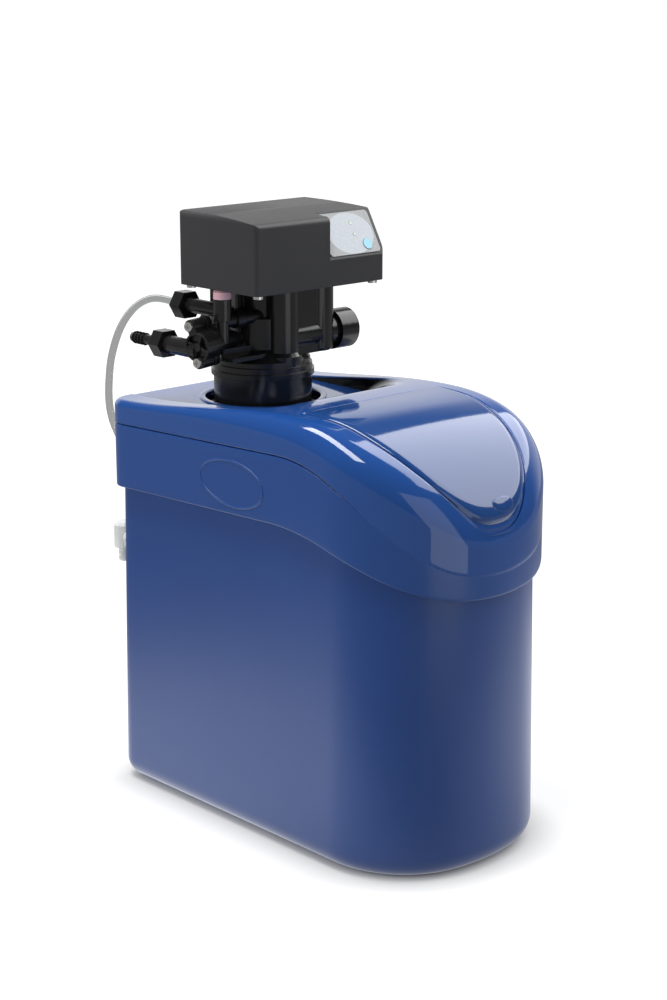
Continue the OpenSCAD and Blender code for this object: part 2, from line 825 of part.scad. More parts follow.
// Half section of the vessel, moved inwards by inset
module vessel_section(inset) {
    translate([0, vessel_lo])
        square([vessel_r - inset, vessel_hi - vessel_lo]);
    intersection() {
        translate([0, vessel_hi - dome_h])
            circle(dome_r - inset, $fn = 180);
        translate([0, vessel_hi - 1])
            square([vessel_r - inset, dome_r]);
    }
    intersection() {
        translate([0, vessel_lo + dome_h])
            circle(dome_r - inset, $fn = 180);
        translate([0, vessel_lo + 1 - dome_r])
            square([vessel_r - inset, dome_r]);
    }
}

module pressure_vessel() {
    color([0.75, 0.76, 0.72])
        translate([0, vessel_y, 0])
            rotate_extrude()
                difference() {
                    union() {
                        vessel_section(0);
                        translate([0, vessel_hi])
                            square([stub_r, flange_z - vessel_hi]);
                    }
                    vessel_section(vessel_wall);
                    translate([0, vessel_hi])
                        square([stub_in, crest_z]);
                }
}

module vessel_foot() {
    color(black)
        translate([0, vessel_y, 0])
            rotate_extrude()
                difference() {
                    translate([60, tank_wall + seat])
                        square([vessel_r - 66, 45]);
                    vessel_section(-free);
                }
}

module vessel_neck() {
    color(black)
        translate([0, vessel_y, 0])
            rotate_extrude()
                difference() {
                    union() {
                        translate([neck_bore, flange_z - 20])
                            square([stub_in - free - neck_bore, 30]);
                        translate([neck_bore, flange_z + seat])
                            square([neck_d / 2 + 3 - neck_bore, 6]);
                        translate([neck_bore, flange_z + 2])
                            square([neck_d / 2 - neck_bore, nz - flange_z - 2]);
                    }
                    translate([neck_groove_r - 2.5, nz - 4.5])
                        square([5, 10]);
                }
}

module neck_o_ring() {
    color(rubber)
        translate([0, vessel_y, nz - 2.25])
            ring_z(neck_groove_r, 2.2);
}

module riser_tube() {
    color(pale)
        difference() {
            rod_z(30, nz + 18, 0, vessel_y, riser_r);
            rod_z(29, nz + 19, 0, vessel_y, riser_r - 1.9);
        }
}

module riser_o_ring() {
    color(rubber)
        translate([0, vessel_y, nz + 8])
            ring_z(riser_r + 2.05, 1.75);
}

module strainer(from, to, r, bore) {
    difference() {
        rod_z(from, to, 0, vessel_y, r);
        rod_z(from + 4, to - 4, 0, vessel_y, r - 3);
        rod_z(to - 5, to + 1, 0, vessel_y, bore);
        for (a = [0:22.5:337.5])
            translate([0, vessel_y, from + 6])
                rotate(a)
                    translate([r - 5, -0.6, 0])
                        cube([7, 1.2, to - from - 12]);
    }
}

module top_strainer() {
    color(pale)
        difference() {
            strainer(nz - 58, nz - 26.2, 30, riser_r + free);
            rod_z(nz - 60, nz - 50, 0, vessel_y, riser_r + free);
        }
}

module bottom_strainer() {
    color(pale)
        strainer(vessel_base + 7, vessel_base + 67, 25, riser_r + 0.1);
}

// The drain's flange faces a little forwards: everything on it turns about the middle of its face
module on_drain() {
    translate([drain_pivot_x, drain_disc_y, 0])
        rotate(drain_turn)
            translate([-drain_pivot_x, -drain_disc_y, 0])
                children();
}

// Flange of the drain: a round face with a lug for each screw, on webs that stand back from its faces
web_step = 0.2;
module drain_flange(from, to, r) {
    rod_x(from, to, drain_disc_y, barrel_z, r);
    for (p = drain_screw_yz) {
        rod_x(from, to, p[0], p[1], 6.5);
        offset_yz = p - [drain_disc_y, barrel_z];
        translate([from + web_step, drain_disc_y, barrel_z])
            rotate([atan2(offset_yz[1], offset_yz[0]), 0, 0])
                translate([0, 0, -4.5])
                    cube([to - from - 2 * web_step, norm(offset_yz), 9]);
    }
}

module valve_skirt() {
    translate([0, vessel_y, nz])
        rotate_extrude()
            polygon([[0, seat], [52.5, seat], [52.5, 6], [50.5, 6], [50.5, 12], [48.5, 12], [48.5, 17],
                [35, 30], [0, 30]]);
}

module valve_form() {
    rod_z(nz - 26, nz + 1, 0, vessel_y, neck_bore - free);
    valve_skirt();
    rod_z(nz + 20, nz + 60, 0, vessel_y, 36);
    rod_z(nz + 50, column_top - 3, 0, vessel_y, 29);
    rod_z(nz + 20, column_top, front_column[0], front_column[1], column_r);
    rod_z(barrel_z - 15, column_top, side_column[0], side_column[1], column_r);
    translate([side_column[0], side_column[1], barrel_z - 18])
        cylinder(h = 3, r1 = column_r - 3, r2 = column_r);
    rod_z(nz + 34, column_top, rear_column[0], rear_column[1], column_r);
    translate([0, front_column[1] - column_r + 4, nz + 22])
        cube([side_column[0], column_r + 4, 67]);
    rod_z(nz + 11, nz + 22, front_column[0], front_column[1], column_r + 3);
    translate([front_column[0], front_column[1], nz + 22])
        cylinder(h = 5, r1 = column_r + 3, r2 = column_r - 1);
    rod_x(0, turbine_x, barrel_y, barrel_z, 16);
    rod_x(turbine_x - 2, barrel_end, barrel_y, barrel_z, cap_r - 4);
    on_drain() {
        translate([drain_face + 6, drain_disc_y, barrel_z])
            rotate([0, 90, 0])
                cylinder(h = 70, r1 = 11.5, r2 = 7);
        drain_flange(drain_face, drain_face + 7, 14);
    }
    translate([drain_face + 12, drain_y - 16, nz + 22])
        cube([48, 16, 4]);
    translate([drain_face + 12, drain_y - 2, nz + 22])
        cube([48, 4, 12]);
    rod_z(barrel_z, injector_top, injector_x, drain_y, 6.5);
    rod_z(nz + 63, injector_top, injector_x, drain_y, 9);
    rod_x(injector_x, 0, drain_y, nz + 62, 7);
    rod_x(injector_x + 14, injector_x + 24, drain_y, nz + 62, 9);
    rod_y(drain_y, union_y + 8, injector_x, brine_z, 7.5);
    rod_y(drain_y, union_y - 24, injector_x, nz + 52, 7);
    rod_y(vessel_y, port_end, inlet_x, barrel_z, port_r);
    rod_y(barrel_y, port_end, outlet_x, barrel_z, port_r);
    translate([inlet_x - 18, vessel_y + 20, barrel_z - 14])
        cube([outlet_x - inlet_x + 36, 20, 28]);
}

module valve_body() {
    color(black)
        difference() {
            valve_form();
            rod_z(nz - 27, nz + 30, 0, vessel_y, riser_r + free);
            rod_z(nz + 5.6, nz + 10.4, 0, vessel_y, riser_r + 4);
            for (c = columns) {
                rod_z(bore_floor, column_top + 1, c[0], c[1], bore_r);
                rod_z(barrel_z, bore_floor + 1, c[0], c[1], 6);
            }
            rod_x(turbine_x + 2, barrel_end + 1, barrel_y, barrel_z, turbine_r + 1.5);
            rod_x(turbine_x - 3, turbine_x + 3, barrel_y, barrel_z, 1.5, 32);
            rod_x(front_column[0], turbine_x + 3, barrel_y, barrel_z, 6);
            on_drain() {
                rod_x(drain_face - 1, -30, drain_disc_y, barrel_z, 4);
                for (p = drain_screw_yz)
                    rod_x(drain_face - 1, drain_face + 6, p[0], p[1], 2.1, 48);
            }
            rod_z(barrel_z + 10, injector_top + 1, injector_x, drain_y, 4.5);
            rod_z(brine_z - 4, injector_top + 1, injector_x, drain_y, 6);
            rod_y(drain_y, union_y + 9, injector_x, brine_z, 3);
            rod_y(vessel_y, port_end + 1, inlet_x, barrel_z, 9);
            rod_y(barrel_y, port_end + 1, outlet_x, barrel_z, 9);
        }
}

// Piston with two seal grooves, and its pair of seals
module piston(at) {
    color(pale)
        difference() {
            rod_z(piston_z, piston_z + piston_h, at[0], at[1], bore_r - 0.08);
            for (up = [3, piston_h - 6])
                difference() {
                    rod_z(piston_z + up, piston_z + up + 3, at[0], at[1], bore_r + 1);
                    rod_z(piston_z + up - 1, piston_z + up + 4, at[0], at[1], bore_r - 2.7);
                }
        }
}

module piston_seals(at) {
    color(rubber)
        for (up = [4.5, piston_h - 4.5])
            translate([at[0], at[1], piston_z + up])
                ring_z(bore_r - 1.4, 1.25);
}

module front_piston() {
    piston(front_column);
}

module side_piston() {
    piston(side_column);
}

module rear_piston() {
    piston(rear_column);
}

module front_piston_seals() {
    piston_seals(front_column);
}

module side_piston_seals() {
    piston_seals(side_column);
}

module rear_piston_seals() {
    piston_seals(rear_column);
}

module column_caps() {
    color(charcoal)
        for (c = columns) {
            rod_z(column_top + seat, box_z - seat, c[0], c[1], column_r);
            rod_z(piston_z + piston_h + piston_travel + 2, column_top + 1, c[0], c[1], bore_r - 0.1);
        }
}

module turbine_cap() {
    color(black)
        difference() {
            union() {
                rod_x(turbine_x + 8, cap_face - cap_edge, barrel_y, barrel_z, cap_r);
                translate([cap_face - cap_edge, barrel_y, barrel_z])
                    rotate([0, 90, 0])
                        cylinder(h = cap_edge, r1 = cap_r, r2 = cap_r - cap_edge);
            }
            difference() {
                rod_x(turbine_x + 7, cap_floor, barrel_y, barrel_z, cap_r - 3.5);
                rod_x(turbine_x + 16, cap_floor + 1, barrel_y, barrel_z, 4);
            }
            rod_x(turbine_x + 15, axle_end, barrel_y, barrel_z, 1.5, 32);
        }
}

module turbine_cap_seal() {
    color(rubber)
        translate([barrel_end + 2, barrel_y, barrel_z])
            rotate([0, 90, 0])
                ring_z(turbine_r + 3.6, 1.6);
}

module turbine_wheel() {
    color(pale)
        difference() {
            union() {
                rod_x(turbine_x + 5, turbine_x + 14, barrel_y, barrel_z, 4);
                for (a = [0:60:300])
                    translate([turbine_x + 9.5, barrel_y, barrel_z])
                        rotate([a, 0, 0])
                            translate([0, 0, turbine_r / 2])
                                rotate([0, 0, 25])
                                    cube([7, 1.2, turbine_r - 0.4], center = true);
            }
            rod_x(turbine_x + 4, turbine_x + 15, barrel_y, barrel_z, 1.5 + run, 32);
        }
}

module turbine_axle() {
    color(steel)
        rod_x(turbine_x - 3, axle_end, barrel_y, barrel_z, 1.5, 32);
}

module injector_nozzle() {
    color(pale)
        difference() {
            rod_z(barrel_z + 12, brine_z - 4, injector_x, drain_y, 4.4);
            translate([injector_x, drain_y, barrel_z + 11])
                cylinder(h = 30, r1 = 1, r2 = 3.4);
        }
}

module injector_plug() {
    color([0.95, 0.77, 0.82])
        difference() {
            union() {
                rod_z(injector_top + seat, injector_top + 7, injector_x, drain_y, 9);
                translate([injector_x, drain_y, injector_top + 7])
                    cylinder(h = 2, r1 = 9, r2 = 7);
                rod_z(brine_z + 4, injector_top + 1, injector_x, drain_y, 5.8);
            }
            translate([injector_x, drain_y, injector_top + 8.5])
                cube([11, 2, 3], center = true);
        }
}

// Hexagon union nut along y with a thread bore and a smaller hole for the stem
module union_nut(x, z, stem_r) {
    difference() {
        rod_y(union_y, union_y + nut_l, x, z, nut_af / 2 / cos(30), 6);
        rod_y(union_y - 1, union_y + 9, x, z, 7.8);
        rod_y(union_y + 8, union_y + 12.5, x, z, 7.3);
        rod_y(union_y + 8, union_y + nut_l + 1, x, z, stem_r);
    }
}

module brine_nut() {
    color(black)
        union_nut(injector_x, brine_z, tube_r + 0.5);
}

module brine_ferrule() {
    color(pale)
        difference() {
            rod_y(union_y + 9.2, union_y + 12.3, injector_x, brine_z, 7.2);
            rod_y(union_y + 9, union_y + 13, injector_x, brine_z, tube_r + 0.3);
        }
}

module drain_elbow() {
    color(black)
        difference() {
            union() {
                on_drain() {
                    difference() {
                        drain_flange(drain_outer, drain_face - 1, 14.5);
                        rod_x(drain_outer - 1, drain_outer + 5, drain_disc_y, barrel_z, 12.5);
                    }
                    rod_x(drain_outer, drain_face - 2, drain_disc_y, barrel_z, 4);
                    for (p = drain_screw_yz)
                        rod_x(drain_outer + 0.4, drain_face - 2, p[0], p[1], 5);
                    for (a = [20, 110])
                        translate([drain_outer + 1, drain_disc_y, barrel_z])
                            rotate([a, 0, 0])
                                translate([0, -13, -1.2])
                                    cube([10, 26, 2.4]);
                }
                rod_y(drain_disc_y, union_y - 1, drain_out_x, drain_out_z, 9);
                rod_y(drain_disc_y, union_y + 8, drain_out_x, drain_out_z, 7.5);
            }
            on_drain() {
                for (p = drain_screw_yz)
                    rod_x(drain_outer - 1, drain_face, p[0], p[1], 2.1, 48);
                rod_x(drain_pivot_x - 2, drain_face, drain_disc_y, barrel_z, 4);
            }
            rod_y(drain_disc_y, union_y + 9, drain_out_x, drain_out_z, 4);
        }
}

module drain_gasket() {
    color(rubber)
        on_drain()
            difference() {
                drain_flange(drain_face - 0.9, drain_face - 0.1, 14);
                for (p = drain_screw_yz)
                    rod_x(drain_face - 2, drain_face + 1, p[0], p[1], 2.4, 48);
                rod_x(drain_face - 2, drain_face + 1, drain_disc_y, barrel_z, 4);
            }
}

module drain_screws() {
    color(steel)
        on_drain()
            for (p = drain_screw_yz)
                difference() {
                    union() {
                        rod_x(drain_outer - 0.1, drain_face + 5, p[0], p[1], 2, 48);
                        rod_x(drain_outer - 3.6, drain_outer - 0.1, p[0], p[1], 4.6);
                    }
                    translate([drain_outer - 3.6, p[0], p[1]])
                        for (a = [0, 90])
                            rotate([a, 0, 0])
                                cube([3, 5, 1.2], center = true);
                }
}

module drain_nut() {
    color(black)
        union_nut(drain_out_x, drain_out_z, barb_d / 2 - 1.2);
}

module drain_barb() {
    stem = barb_d / 2 - 1.5;
    color(black)
        difference() {
            union() {
                rod_y(union_y + 9.2, union_y + 12.3, drain_out_x, drain_out_z, 7);
                rod_y(union_y + 9.2, barb_end, drain_out_x, drain_out_z, stem);
                for (from = [nut_l + 22 : 5 : nut_l + 37])
                    taper_y(union_y + from, union_y + from + 4.5, drain_out_x, drain_out_z, barb_d / 2, stem);
                rod_y(union_y + nut_l + 3, union_y + nut_l + 10, drain_out_x, drain_out_z, barb_d / 2);
            }
            rod_y(union_y + 9, barb_end + 1, drain_out_x, drain_out_z, 3.2);
        }
}

// Control box: plan, side profile and front profile cut together, then the sloping panel face
module box_side(inset) {
    top = box_top - inset;
    crown_z = top - box_crown_r;
    r = 6 - inset;
    front = box_front + inset;
    rear = box_rear - inset;
    front_z = crown_z + sqrt(pow(box_crown_r - r, 2) - pow(rear - front - r, 2));
    rear_z = crown_z + sqrt(pow(box_crown_r - r, 2) - pow(r, 2));
    intersection() {
        translate([rear, crown_z])
            circle(box_crown_r, $fn = 720);
        union() {
            translate([front, box_z - 1])
                square([rear - front, front_z - box_z + 1]);
            translate([rear - r - 1, box_z - 1])
                square([r + 1, rear_z - box_z + 1]);
            translate([front + r, box_z - 1])
                square([rear - front - 2 * r, box_h + 20]);
            translate([front + r, front_z])
                circle(r, $fn = 48);
            translate([rear - r, rear_z])
                circle(r, $fn = 48);
        }
    }
}

module on_panel() {
    translate([0, box_front, panel_z])
        rotate([panel_tilt, 0, 0])
            children();
}

module box_form(inset, bottom) {
    difference() {
        intersection() {
            translate([inset - box_half, box_front + inset, bottom])
                linear_extrude(box_h + 20)
                    rounded_square(box_w - 2 * inset, box_d - 2 * inset, 6 - inset);
            translate([-box_half, 0, 0])
                rotate([90, 0, 90])
                    linear_extrude(box_w)
                        box_side(inset);
            translate([inset - box_half, box_rear, box_z - 20])
                rotate([90, 0, 0])
                    linear_extrude(box_d)
                        rounded_square(box_w - 2 * inset, box_h + 20 - inset, 7 - inset);
        }
        on_panel()
            translate([panel_x - inset, -100, -inset])
                cube([box_w, 300, 100]);
    }
}

module box_cover() {
    color(charcoal)
        difference() {
            union() {
                difference() {
                    box_form(0, box_z);
                    box_form(box_wall, box_z - 1);
                }
                for (x = [-screw_x, screw_x])
                    for (y = [box_y - screw_y, box_y + screw_y])
                        rod_z(box_z + base_t + seat, box_z + 22, x, y, 5);
                for (x = [-screw_x, screw_x])
                    for (side = [-1, 1]) {
                        rib_x = x > 0 ? x : 1 - box_half;
                        translate([rib_x, box_y + side * (screw_y + 3.5) - 1, box_z + base_t + seat])
                            cube([box_half - 1 - screw_x, 2, 18]);
                    }
            }
            for (x = [-screw_x, screw_x])
                for (y = [box_y - screw_y, box_y + screw_y])
                    rod_z(box_z, box_z + 20, x, y, 2, 48);
            on_panel() {
                translate([button_at[0], button_at[1], -10])
                    cylinder(h = 20, d = button_d + 2 * free);
                for (p = led_at)
                    translate([p[0], p[1], -10])
                        cylinder(h = 20, r = 1.9, $fn = 32);
            }
            rod_y(box_rear - 5, box_rear + 1, 50, box_z + 18, 5.2);
        }
}

module box_base() {
    color(charcoal)
        difference() {
            translate([-box_half + box_wall + seat, box_front + box_wall + seat, box_z])
                linear_extrude(base_t)
                    rounded_square(box_w - 2 * (box_wall + seat), box_d - 2 * (box_wall + seat), 3);
            for (x = [-screw_x, screw_x])
                for (y = [box_y - screw_y, box_y + screw_y])
                    rod_z(box_z - 1, box_z + 5, x, y, 2.3, 48);
            for (c = columns)
                rod_z(box_z - 1, box_z + 5, c[0], c[1], 3);
        }
}

module box_screws() {
    color(steel)
        for (x = [-screw_x, screw_x])
            for (y = [box_y - screw_y, box_y + screw_y])
                difference() {
                    union() {
                        rod_z(box_z - 0.1, box_z + 18, x, y, 2, 48);
                        rod_z(box_z - 3.5, box_z - 0.1, x, y, 4.7);
                    }
                    translate([x, y, box_z - 3.5])
                        for (a = [0, 90])
                            rotate(a)
                                cube([5, 1.2, 3], center = true);
                }
}

module control_panel() {
    color([0.71, 0.71, 0.71])
        on_panel()
            difference() {
                translate([panel_from, 3, 0.05])
                    linear_extrude(1)
                        rounded_square(panel_w, panel_l, 4);
                translate([button_at[0], button_at[1], -1])
                    cylinder(h = 5, d = button_d + 2 * free);
                for (p = led_at)
                    translate([p[0], p[1], -1])
                        cylinder(h = 5, r = 1.9, $fn = 32);
            }
}

module start_button() {
    color([0.62, 0.85, 0.93])
        on_panel()
            translate([button_at[0], button_at[1], 0]) {
                translate([0, 0, -box_wall - 2])
                    cylinder(h = box_wall + 2 + 1.8, d = button_d);
                translate([0, 0, -box_wall - 2])
                    cylinder(h = 1.8, d = button_d + 3);
                translate([0, 0, -7])
                    cylinder(h = 6, r = 2);
            }
}

module led_lenses() {
    color([0.85, 0.95, 0.85])
        on_panel()
            for (p = led_at)
                translate([p[0], p[1], 0.2 - board_depth])
                    cylinder(h = board_depth + 1.2, r = 1.6, $fn = 32);
}

module circuit_board() {
    color([0.1, 0.35, 0.18])
        on_panel() {
            translate([panel_from + 6, 4, -board_depth - 1.6])
                cube([box_half - 15 - panel_from - 6, 36, 1.6]);
            translate([button_at[0] - 3, button_at[1] - 3, -board_depth - 0.5])
                cube([6, 6, board_depth - 7 - button_travel - 0.3 + 0.5]);
            for (x = [panel_from + 12, panel_from + 32])
                translate([x, 18, -board_depth - 0.5])
                    cylinder(h = board_depth - box_wall + 0.4, r = 2.5, $fn = 32);
        }
}

// Gear outline with straight-sided teeth
function polar(r, a) = [r * cos(a), r * sin(a)];
module gear(teeth, t, bore, turn) {
    step = 360 / teeth;
    r = teeth * gear_m / 2;
    linear_extrude(t)
        difference() {
            polygon([for (i = [0:teeth - 1]) for (c = [[-1.15, -0.37], [0, -0.235], [0.85, -0.12],
                [0.85, 0.12], [0, 0.235], [-1.15, 0.37]])
                    polar(r + c[0] * gear_m, (i + c[1]) * step + turn)]);
            circle(bore, $fn = 48);
        }
}

module distributor_gear() {
    color(pale)
        translate([gear_at[0], gear_at[1], gear_z]) {
            gear(gear_teeth, gear_t, 4 + run, 0);
            translate([0, 0, gear_t - 0.5])
                difference() {
                    cylinder(h = 3.5, r = 8);
                    translate([0, 0, -1])
                        cylinder(h = 6, r = 4 + run);
                }
        }
}

module pilot_distributor() {
    color(charcoal)
        translate([gear_at[0], gear_at[1], box_z + base_t + 0.05]) {
            cylinder(h = distributor_h, r = distributor_r);
            cylinder(h = distributor_h + 1.9, r = 7);
            cylinder(h = distributor_h + gear_t + 7, r = 4);
            for (a = [30:120:270])
                rotate(a)
                    translate([distributor_r - 2, -5, 0])
                        cube([10, 10, 4]);
        }
}

module motor_pinion() {
    color(pale)
        translate([pinion_at[0], pinion_at[1], gear_z - 0.5])
            gear(pinion_teeth, gear_t + 1, 1.5 + run, 180 / pinion_teeth);
}

module gear_motor() {
    low = gear_z + gear_t + 4;
    color(steel) {
        rod_z(low, low + 22, pinion_at[0] - 10, pinion_at[1], 20);
        rod_z(gear_z - 0.5, low + 1, pinion_at[0], pinion_at[1], 1.5, 32);
        for (side = [-1, 1])
            translate([pinion_at[0] - 16, pinion_at[1] + side * 17 - 3.5, box_z + base_t + 0.05])
                cube([6, 7, low + 4 - box_z - base_t]);
    }
}

module power_socket() {
    color(rubber)
        difference() {
            union() {
                rod_y(box_rear - 16, box_rear - 0.5, 50, box_z + 18, 5);
                rod_y(box_rear - 16, box_rear - box_wall - 0.1, 50, box_z + 18, 7);
            }
            difference() {
                rod_y(box_rear - 12, box_rear, 50, box_z + 18, 3.5);
                rod_y(box_rear - 13, box_rear - 2, 50, box_z + 18, 1, 32);
            }
        }
}

cabinet_tank();
rim_band();
top_cover();
salt_lid();
lid_hinge_pins();
brine_well();
brine_well_cap();
brine_riser();
air_check();
float_rod();
brine_float();
overflow_elbow();
overflow_gasket();
overflow_nut();
tube_grommet();
brine_tube();
pressure_vessel();
vessel_foot();
vessel_neck();
neck_o_ring();
riser_tube();
riser_o_ring();
top_strainer();
bottom_strainer();
valve_body();
front_piston();
side_piston();
rear_piston();
front_piston_seals();
side_piston_seals();
rear_piston_seals();
column_caps();
turbine_cap();
turbine_cap_seal();
turbine_wheel();
turbine_axle();
injector_nozzle();
injector_plug();
brine_nut();
brine_ferrule();
drain_elbow();
drain_gasket();
drain_screws();
drain_nut();
drain_barb();
box_base();
box_cover();
box_screws();
control_panel();
start_button();
led_lenses();
circuit_board();
gear_motor();
motor_pinion();
distributor_gear();
pilot_distributor();
power_socket();
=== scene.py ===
import json
import math

import bmesh
import bpy
import numpy as np
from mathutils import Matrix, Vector


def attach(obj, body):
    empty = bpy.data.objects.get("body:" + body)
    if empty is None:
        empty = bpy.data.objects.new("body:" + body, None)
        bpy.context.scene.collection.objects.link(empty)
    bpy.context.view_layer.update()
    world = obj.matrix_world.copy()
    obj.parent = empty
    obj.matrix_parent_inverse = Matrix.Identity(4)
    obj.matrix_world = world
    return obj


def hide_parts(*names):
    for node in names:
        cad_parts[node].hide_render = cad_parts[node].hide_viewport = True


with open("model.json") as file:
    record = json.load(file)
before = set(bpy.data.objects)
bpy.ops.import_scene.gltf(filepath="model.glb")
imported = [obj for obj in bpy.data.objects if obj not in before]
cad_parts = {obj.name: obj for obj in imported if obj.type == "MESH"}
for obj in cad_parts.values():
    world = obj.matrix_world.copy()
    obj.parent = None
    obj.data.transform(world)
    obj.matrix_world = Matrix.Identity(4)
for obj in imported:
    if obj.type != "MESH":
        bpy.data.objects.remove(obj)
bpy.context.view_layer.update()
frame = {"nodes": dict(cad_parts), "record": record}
nodes = frame["nodes"]
scene = bpy.context.scene
scene.view_settings.view_transform = "Standard"
mm = 0.001  # all lengths below are in millimetres and go to metres in makePiece
print("frame loaded:", len(nodes), "nodes")

cameraView = {"place": (-1.3259, -1.4030, 0.8346), "pitch": 14.9, "heading": -43.2, "lens": 72.432}
cameraData = bpy.data.cameras.new("photoCamera")
cameraData.lens = cameraView["lens"]
cameraData.sensor_width = 36
camera = bpy.data.objects.new("photoCamera", cameraData)
camera.location = cameraView["place"]
camera.rotation_euler = (math.radians(90 - cameraView["pitch"]), 0, math.radians(cameraView["heading"]))
scene.collection.objects.link(camera)
scene.camera = camera
print("camera set")


def linearColour(code):
    # sRGB hex to linear: low values are divided, the others follow the 2.4 power
    parts = [int(code[i:i + 2], 16) / 255 for i in (1, 3, 5)]
    return tuple(v / 12.92 if v <= 0.04045 else ((v + 0.055) / 1.055) ** 2.4 for v in parts) + (1.0,)


def addNode(tree, kind, settings=None, **links):
    # a number or tuple goes on the socket itself, a socket is linked to it
    node = tree.nodes.new(kind)
    for key, value in (settings or {}).items():
        setattr(node, key, value)
    for key, value in links.items():
        socket = node.inputs[int(key[1:]) if key[0] == "i" and key[1:].isdigit() else key.replace("_", " ")]
        if isinstance(value, bpy.types.NodeSocket):
            tree.links.new(value, socket)
        else:
            socket.default_value = value
    return node


def startMaterial(name):
    material = bpy.data.materials.new(name)
    material.use_nodes = True
    tree = material.node_tree
    tree.nodes.clear()
    place = addNode(tree, "ShaderNodeTexCoord").outputs["Object"]
    return material, tree, place


def endMaterial(tree, shader):
    addNode(tree, "ShaderNodeOutputMaterial", Surface=shader.outputs[0])


def mouldedPlastic(name, dark, light, roughness, grain, bump, mottle=60, coat=0, spread=0.06, edge=0, paintedShade=None):
    # Injection moulded plastic: a slow drift of colour from the melt's flow and a fine tool texture.
    # grain, mottle and edge are sizes in mm: a noise has one wave per size, and edge rounds sharp corners in the
    # shading. The optional dark colour is painted shade, laid on the marked points in place of their shadow.
    material, tree, place = startMaterial(name)
    drift = addNode(tree, "ShaderNodeTexNoise", Vector=place, Scale=1000 / mottle, Detail=3.0)
    colour = addNode(tree, "ShaderNodeMix", {"data_type": "RGBA"},
                     i0=drift.outputs[0], i6=linearColour(dark), i7=linearColour(light))
    # painted shade: the marked points take the dark colour instead of the plastic's own
    if paintedShade:
        shadeMask = addNode(tree, "ShaderNodeAttribute", {"attribute_name": "paintedShade"})
        colour = addNode(tree, "ShaderNodeMix", {"data_type": "RGBA"}, i0=shadeMask.outputs["Fac"],
                         i6=colour.outputs[2], i7=linearColour(paintedShade))
    texture = addNode(tree, "ShaderNodeTexNoise", Vector=place, Scale=1000 / grain, Detail=2.0)
    gloss = addNode(tree, "ShaderNodeMapRange", Value=texture.outputs[0], i1=0.3, i2=0.7,
                    i3=max(roughness - spread, 0.02), i4=roughness + spread)
    relief = addNode(tree, "ShaderNodeBump", Height=texture.outputs[0], Strength=bump, Distance=0.0002)
    if edge:
        rounded = addNode(tree, "ShaderNodeBevel", {"samples": 4}, Radius=edge * mm)
        tree.links.new(rounded.outputs[0], relief.inputs["Normal"])
    shader = addNode(tree, "ShaderNodeBsdfPrincipled", Base_Color=colour.outputs[2],
                     Roughness=gloss.outputs[0], Normal=relief.outputs[0], IOR=1.5, Coat_Weight=coat)
    endMaterial(tree, shader)
    return material


def clearPlastic(name, tint, roughness, milk, edge):
    # Clear or natural plastic: you look through it, less so where it is milky and where the wall turns away
    material, tree, place = startMaterial(name)
    bloom = addNode(tree, "ShaderNodeTexNoise", Vector=place, Scale=1000 / 25, Detail=2.0)
    colour = addNode(tree, "ShaderNodeMix", {"data_type": "RGBA"},
                     i0=bloom.outputs[0], i6=linearColour(tint), i7=linearColour("#ffffff"))
    gloss = addNode(tree, "ShaderNodeMapRange", Value=bloom.outputs[0], i1=0.3, i2=0.7,
                    i3=roughness, i4=roughness + 0.08)
    solid = addNode(tree, "ShaderNodeBsdfPrincipled", Base_Color=colour.outputs[2],
                    Roughness=gloss.outputs[0])
    through = addNode(tree, "ShaderNodeBsdfTransparent", Color=linearColour("#f7f9f9"))
    turned = addNode(tree, "ShaderNodeLayerWeight", Blend=0.35)
    shown = addNode(tree, "ShaderNodeMapRange", Value=turned.outputs["Facing"], i1=0.0, i2=1.0,
                    i3=milk, i4=edge)
    endMaterial(tree, addNode(tree, "ShaderNodeMixShader", i0=shown.outputs[0], i1=through.outputs[0],
                              i2=solid.outputs[0]))
    return material


def clearTubing(name, middle, rim):
    # Extruded clear tube: what lies behind shows through, darker where the wall turns away
    material, tree, place = startMaterial(name)
    ripple = addNode(tree, "ShaderNodeTexNoise", Vector=place, Scale=1000 / 30, Detail=2.0)
    gloss = addNode(tree, "ShaderNodeMapRange", Value=ripple.outputs[0], i1=0.3, i2=0.7, i3=0.01, i4=0.04)
    turned = addNode(tree, "ShaderNodeLayerWeight", Blend=0.3)
    colour = addNode(tree, "ShaderNodeMix", {"data_type": "RGBA"}, i0=turned.outputs["Facing"],
                     i6=linearColour(middle), i7=linearColour(rim))
    endMaterial(tree, addNode(tree, "ShaderNodeBsdfPrincipled", Base_Color=colour.outputs[2], IOR=1.06,
                              Roughness=gloss.outputs[0], Transmission_Weight=1.0))
    return material


def turnedSteel(name, tone, roughness):
    # Stainless steel, headed and rolled: a fine grain and a soft sheen
    material, tree, place = startMaterial(name)
    grain = addNode(tree, "ShaderNodeTexNoise", Vector=place, Scale=1000 / 0.8, Detail=4.0)
    gloss = addNode(tree, "ShaderNodeMapRange", Value=grain.outputs[0], i1=0.3, i2=0.7,
                    i3=roughness - 0.08, i4=roughness + 0.08)
    relief = addNode(tree, "ShaderNodeBump", Height=grain.outputs[0], Strength=0.15, Distance=0.0001)
    shader = addNode(tree, "ShaderNodeBsdfPrincipled", Base_Color=linearColour(tone), Metallic=1.0,
                     Roughness=gloss.outputs[0], Normal=relief.outputs[0])
    endMaterial(tree, shader)
    return material


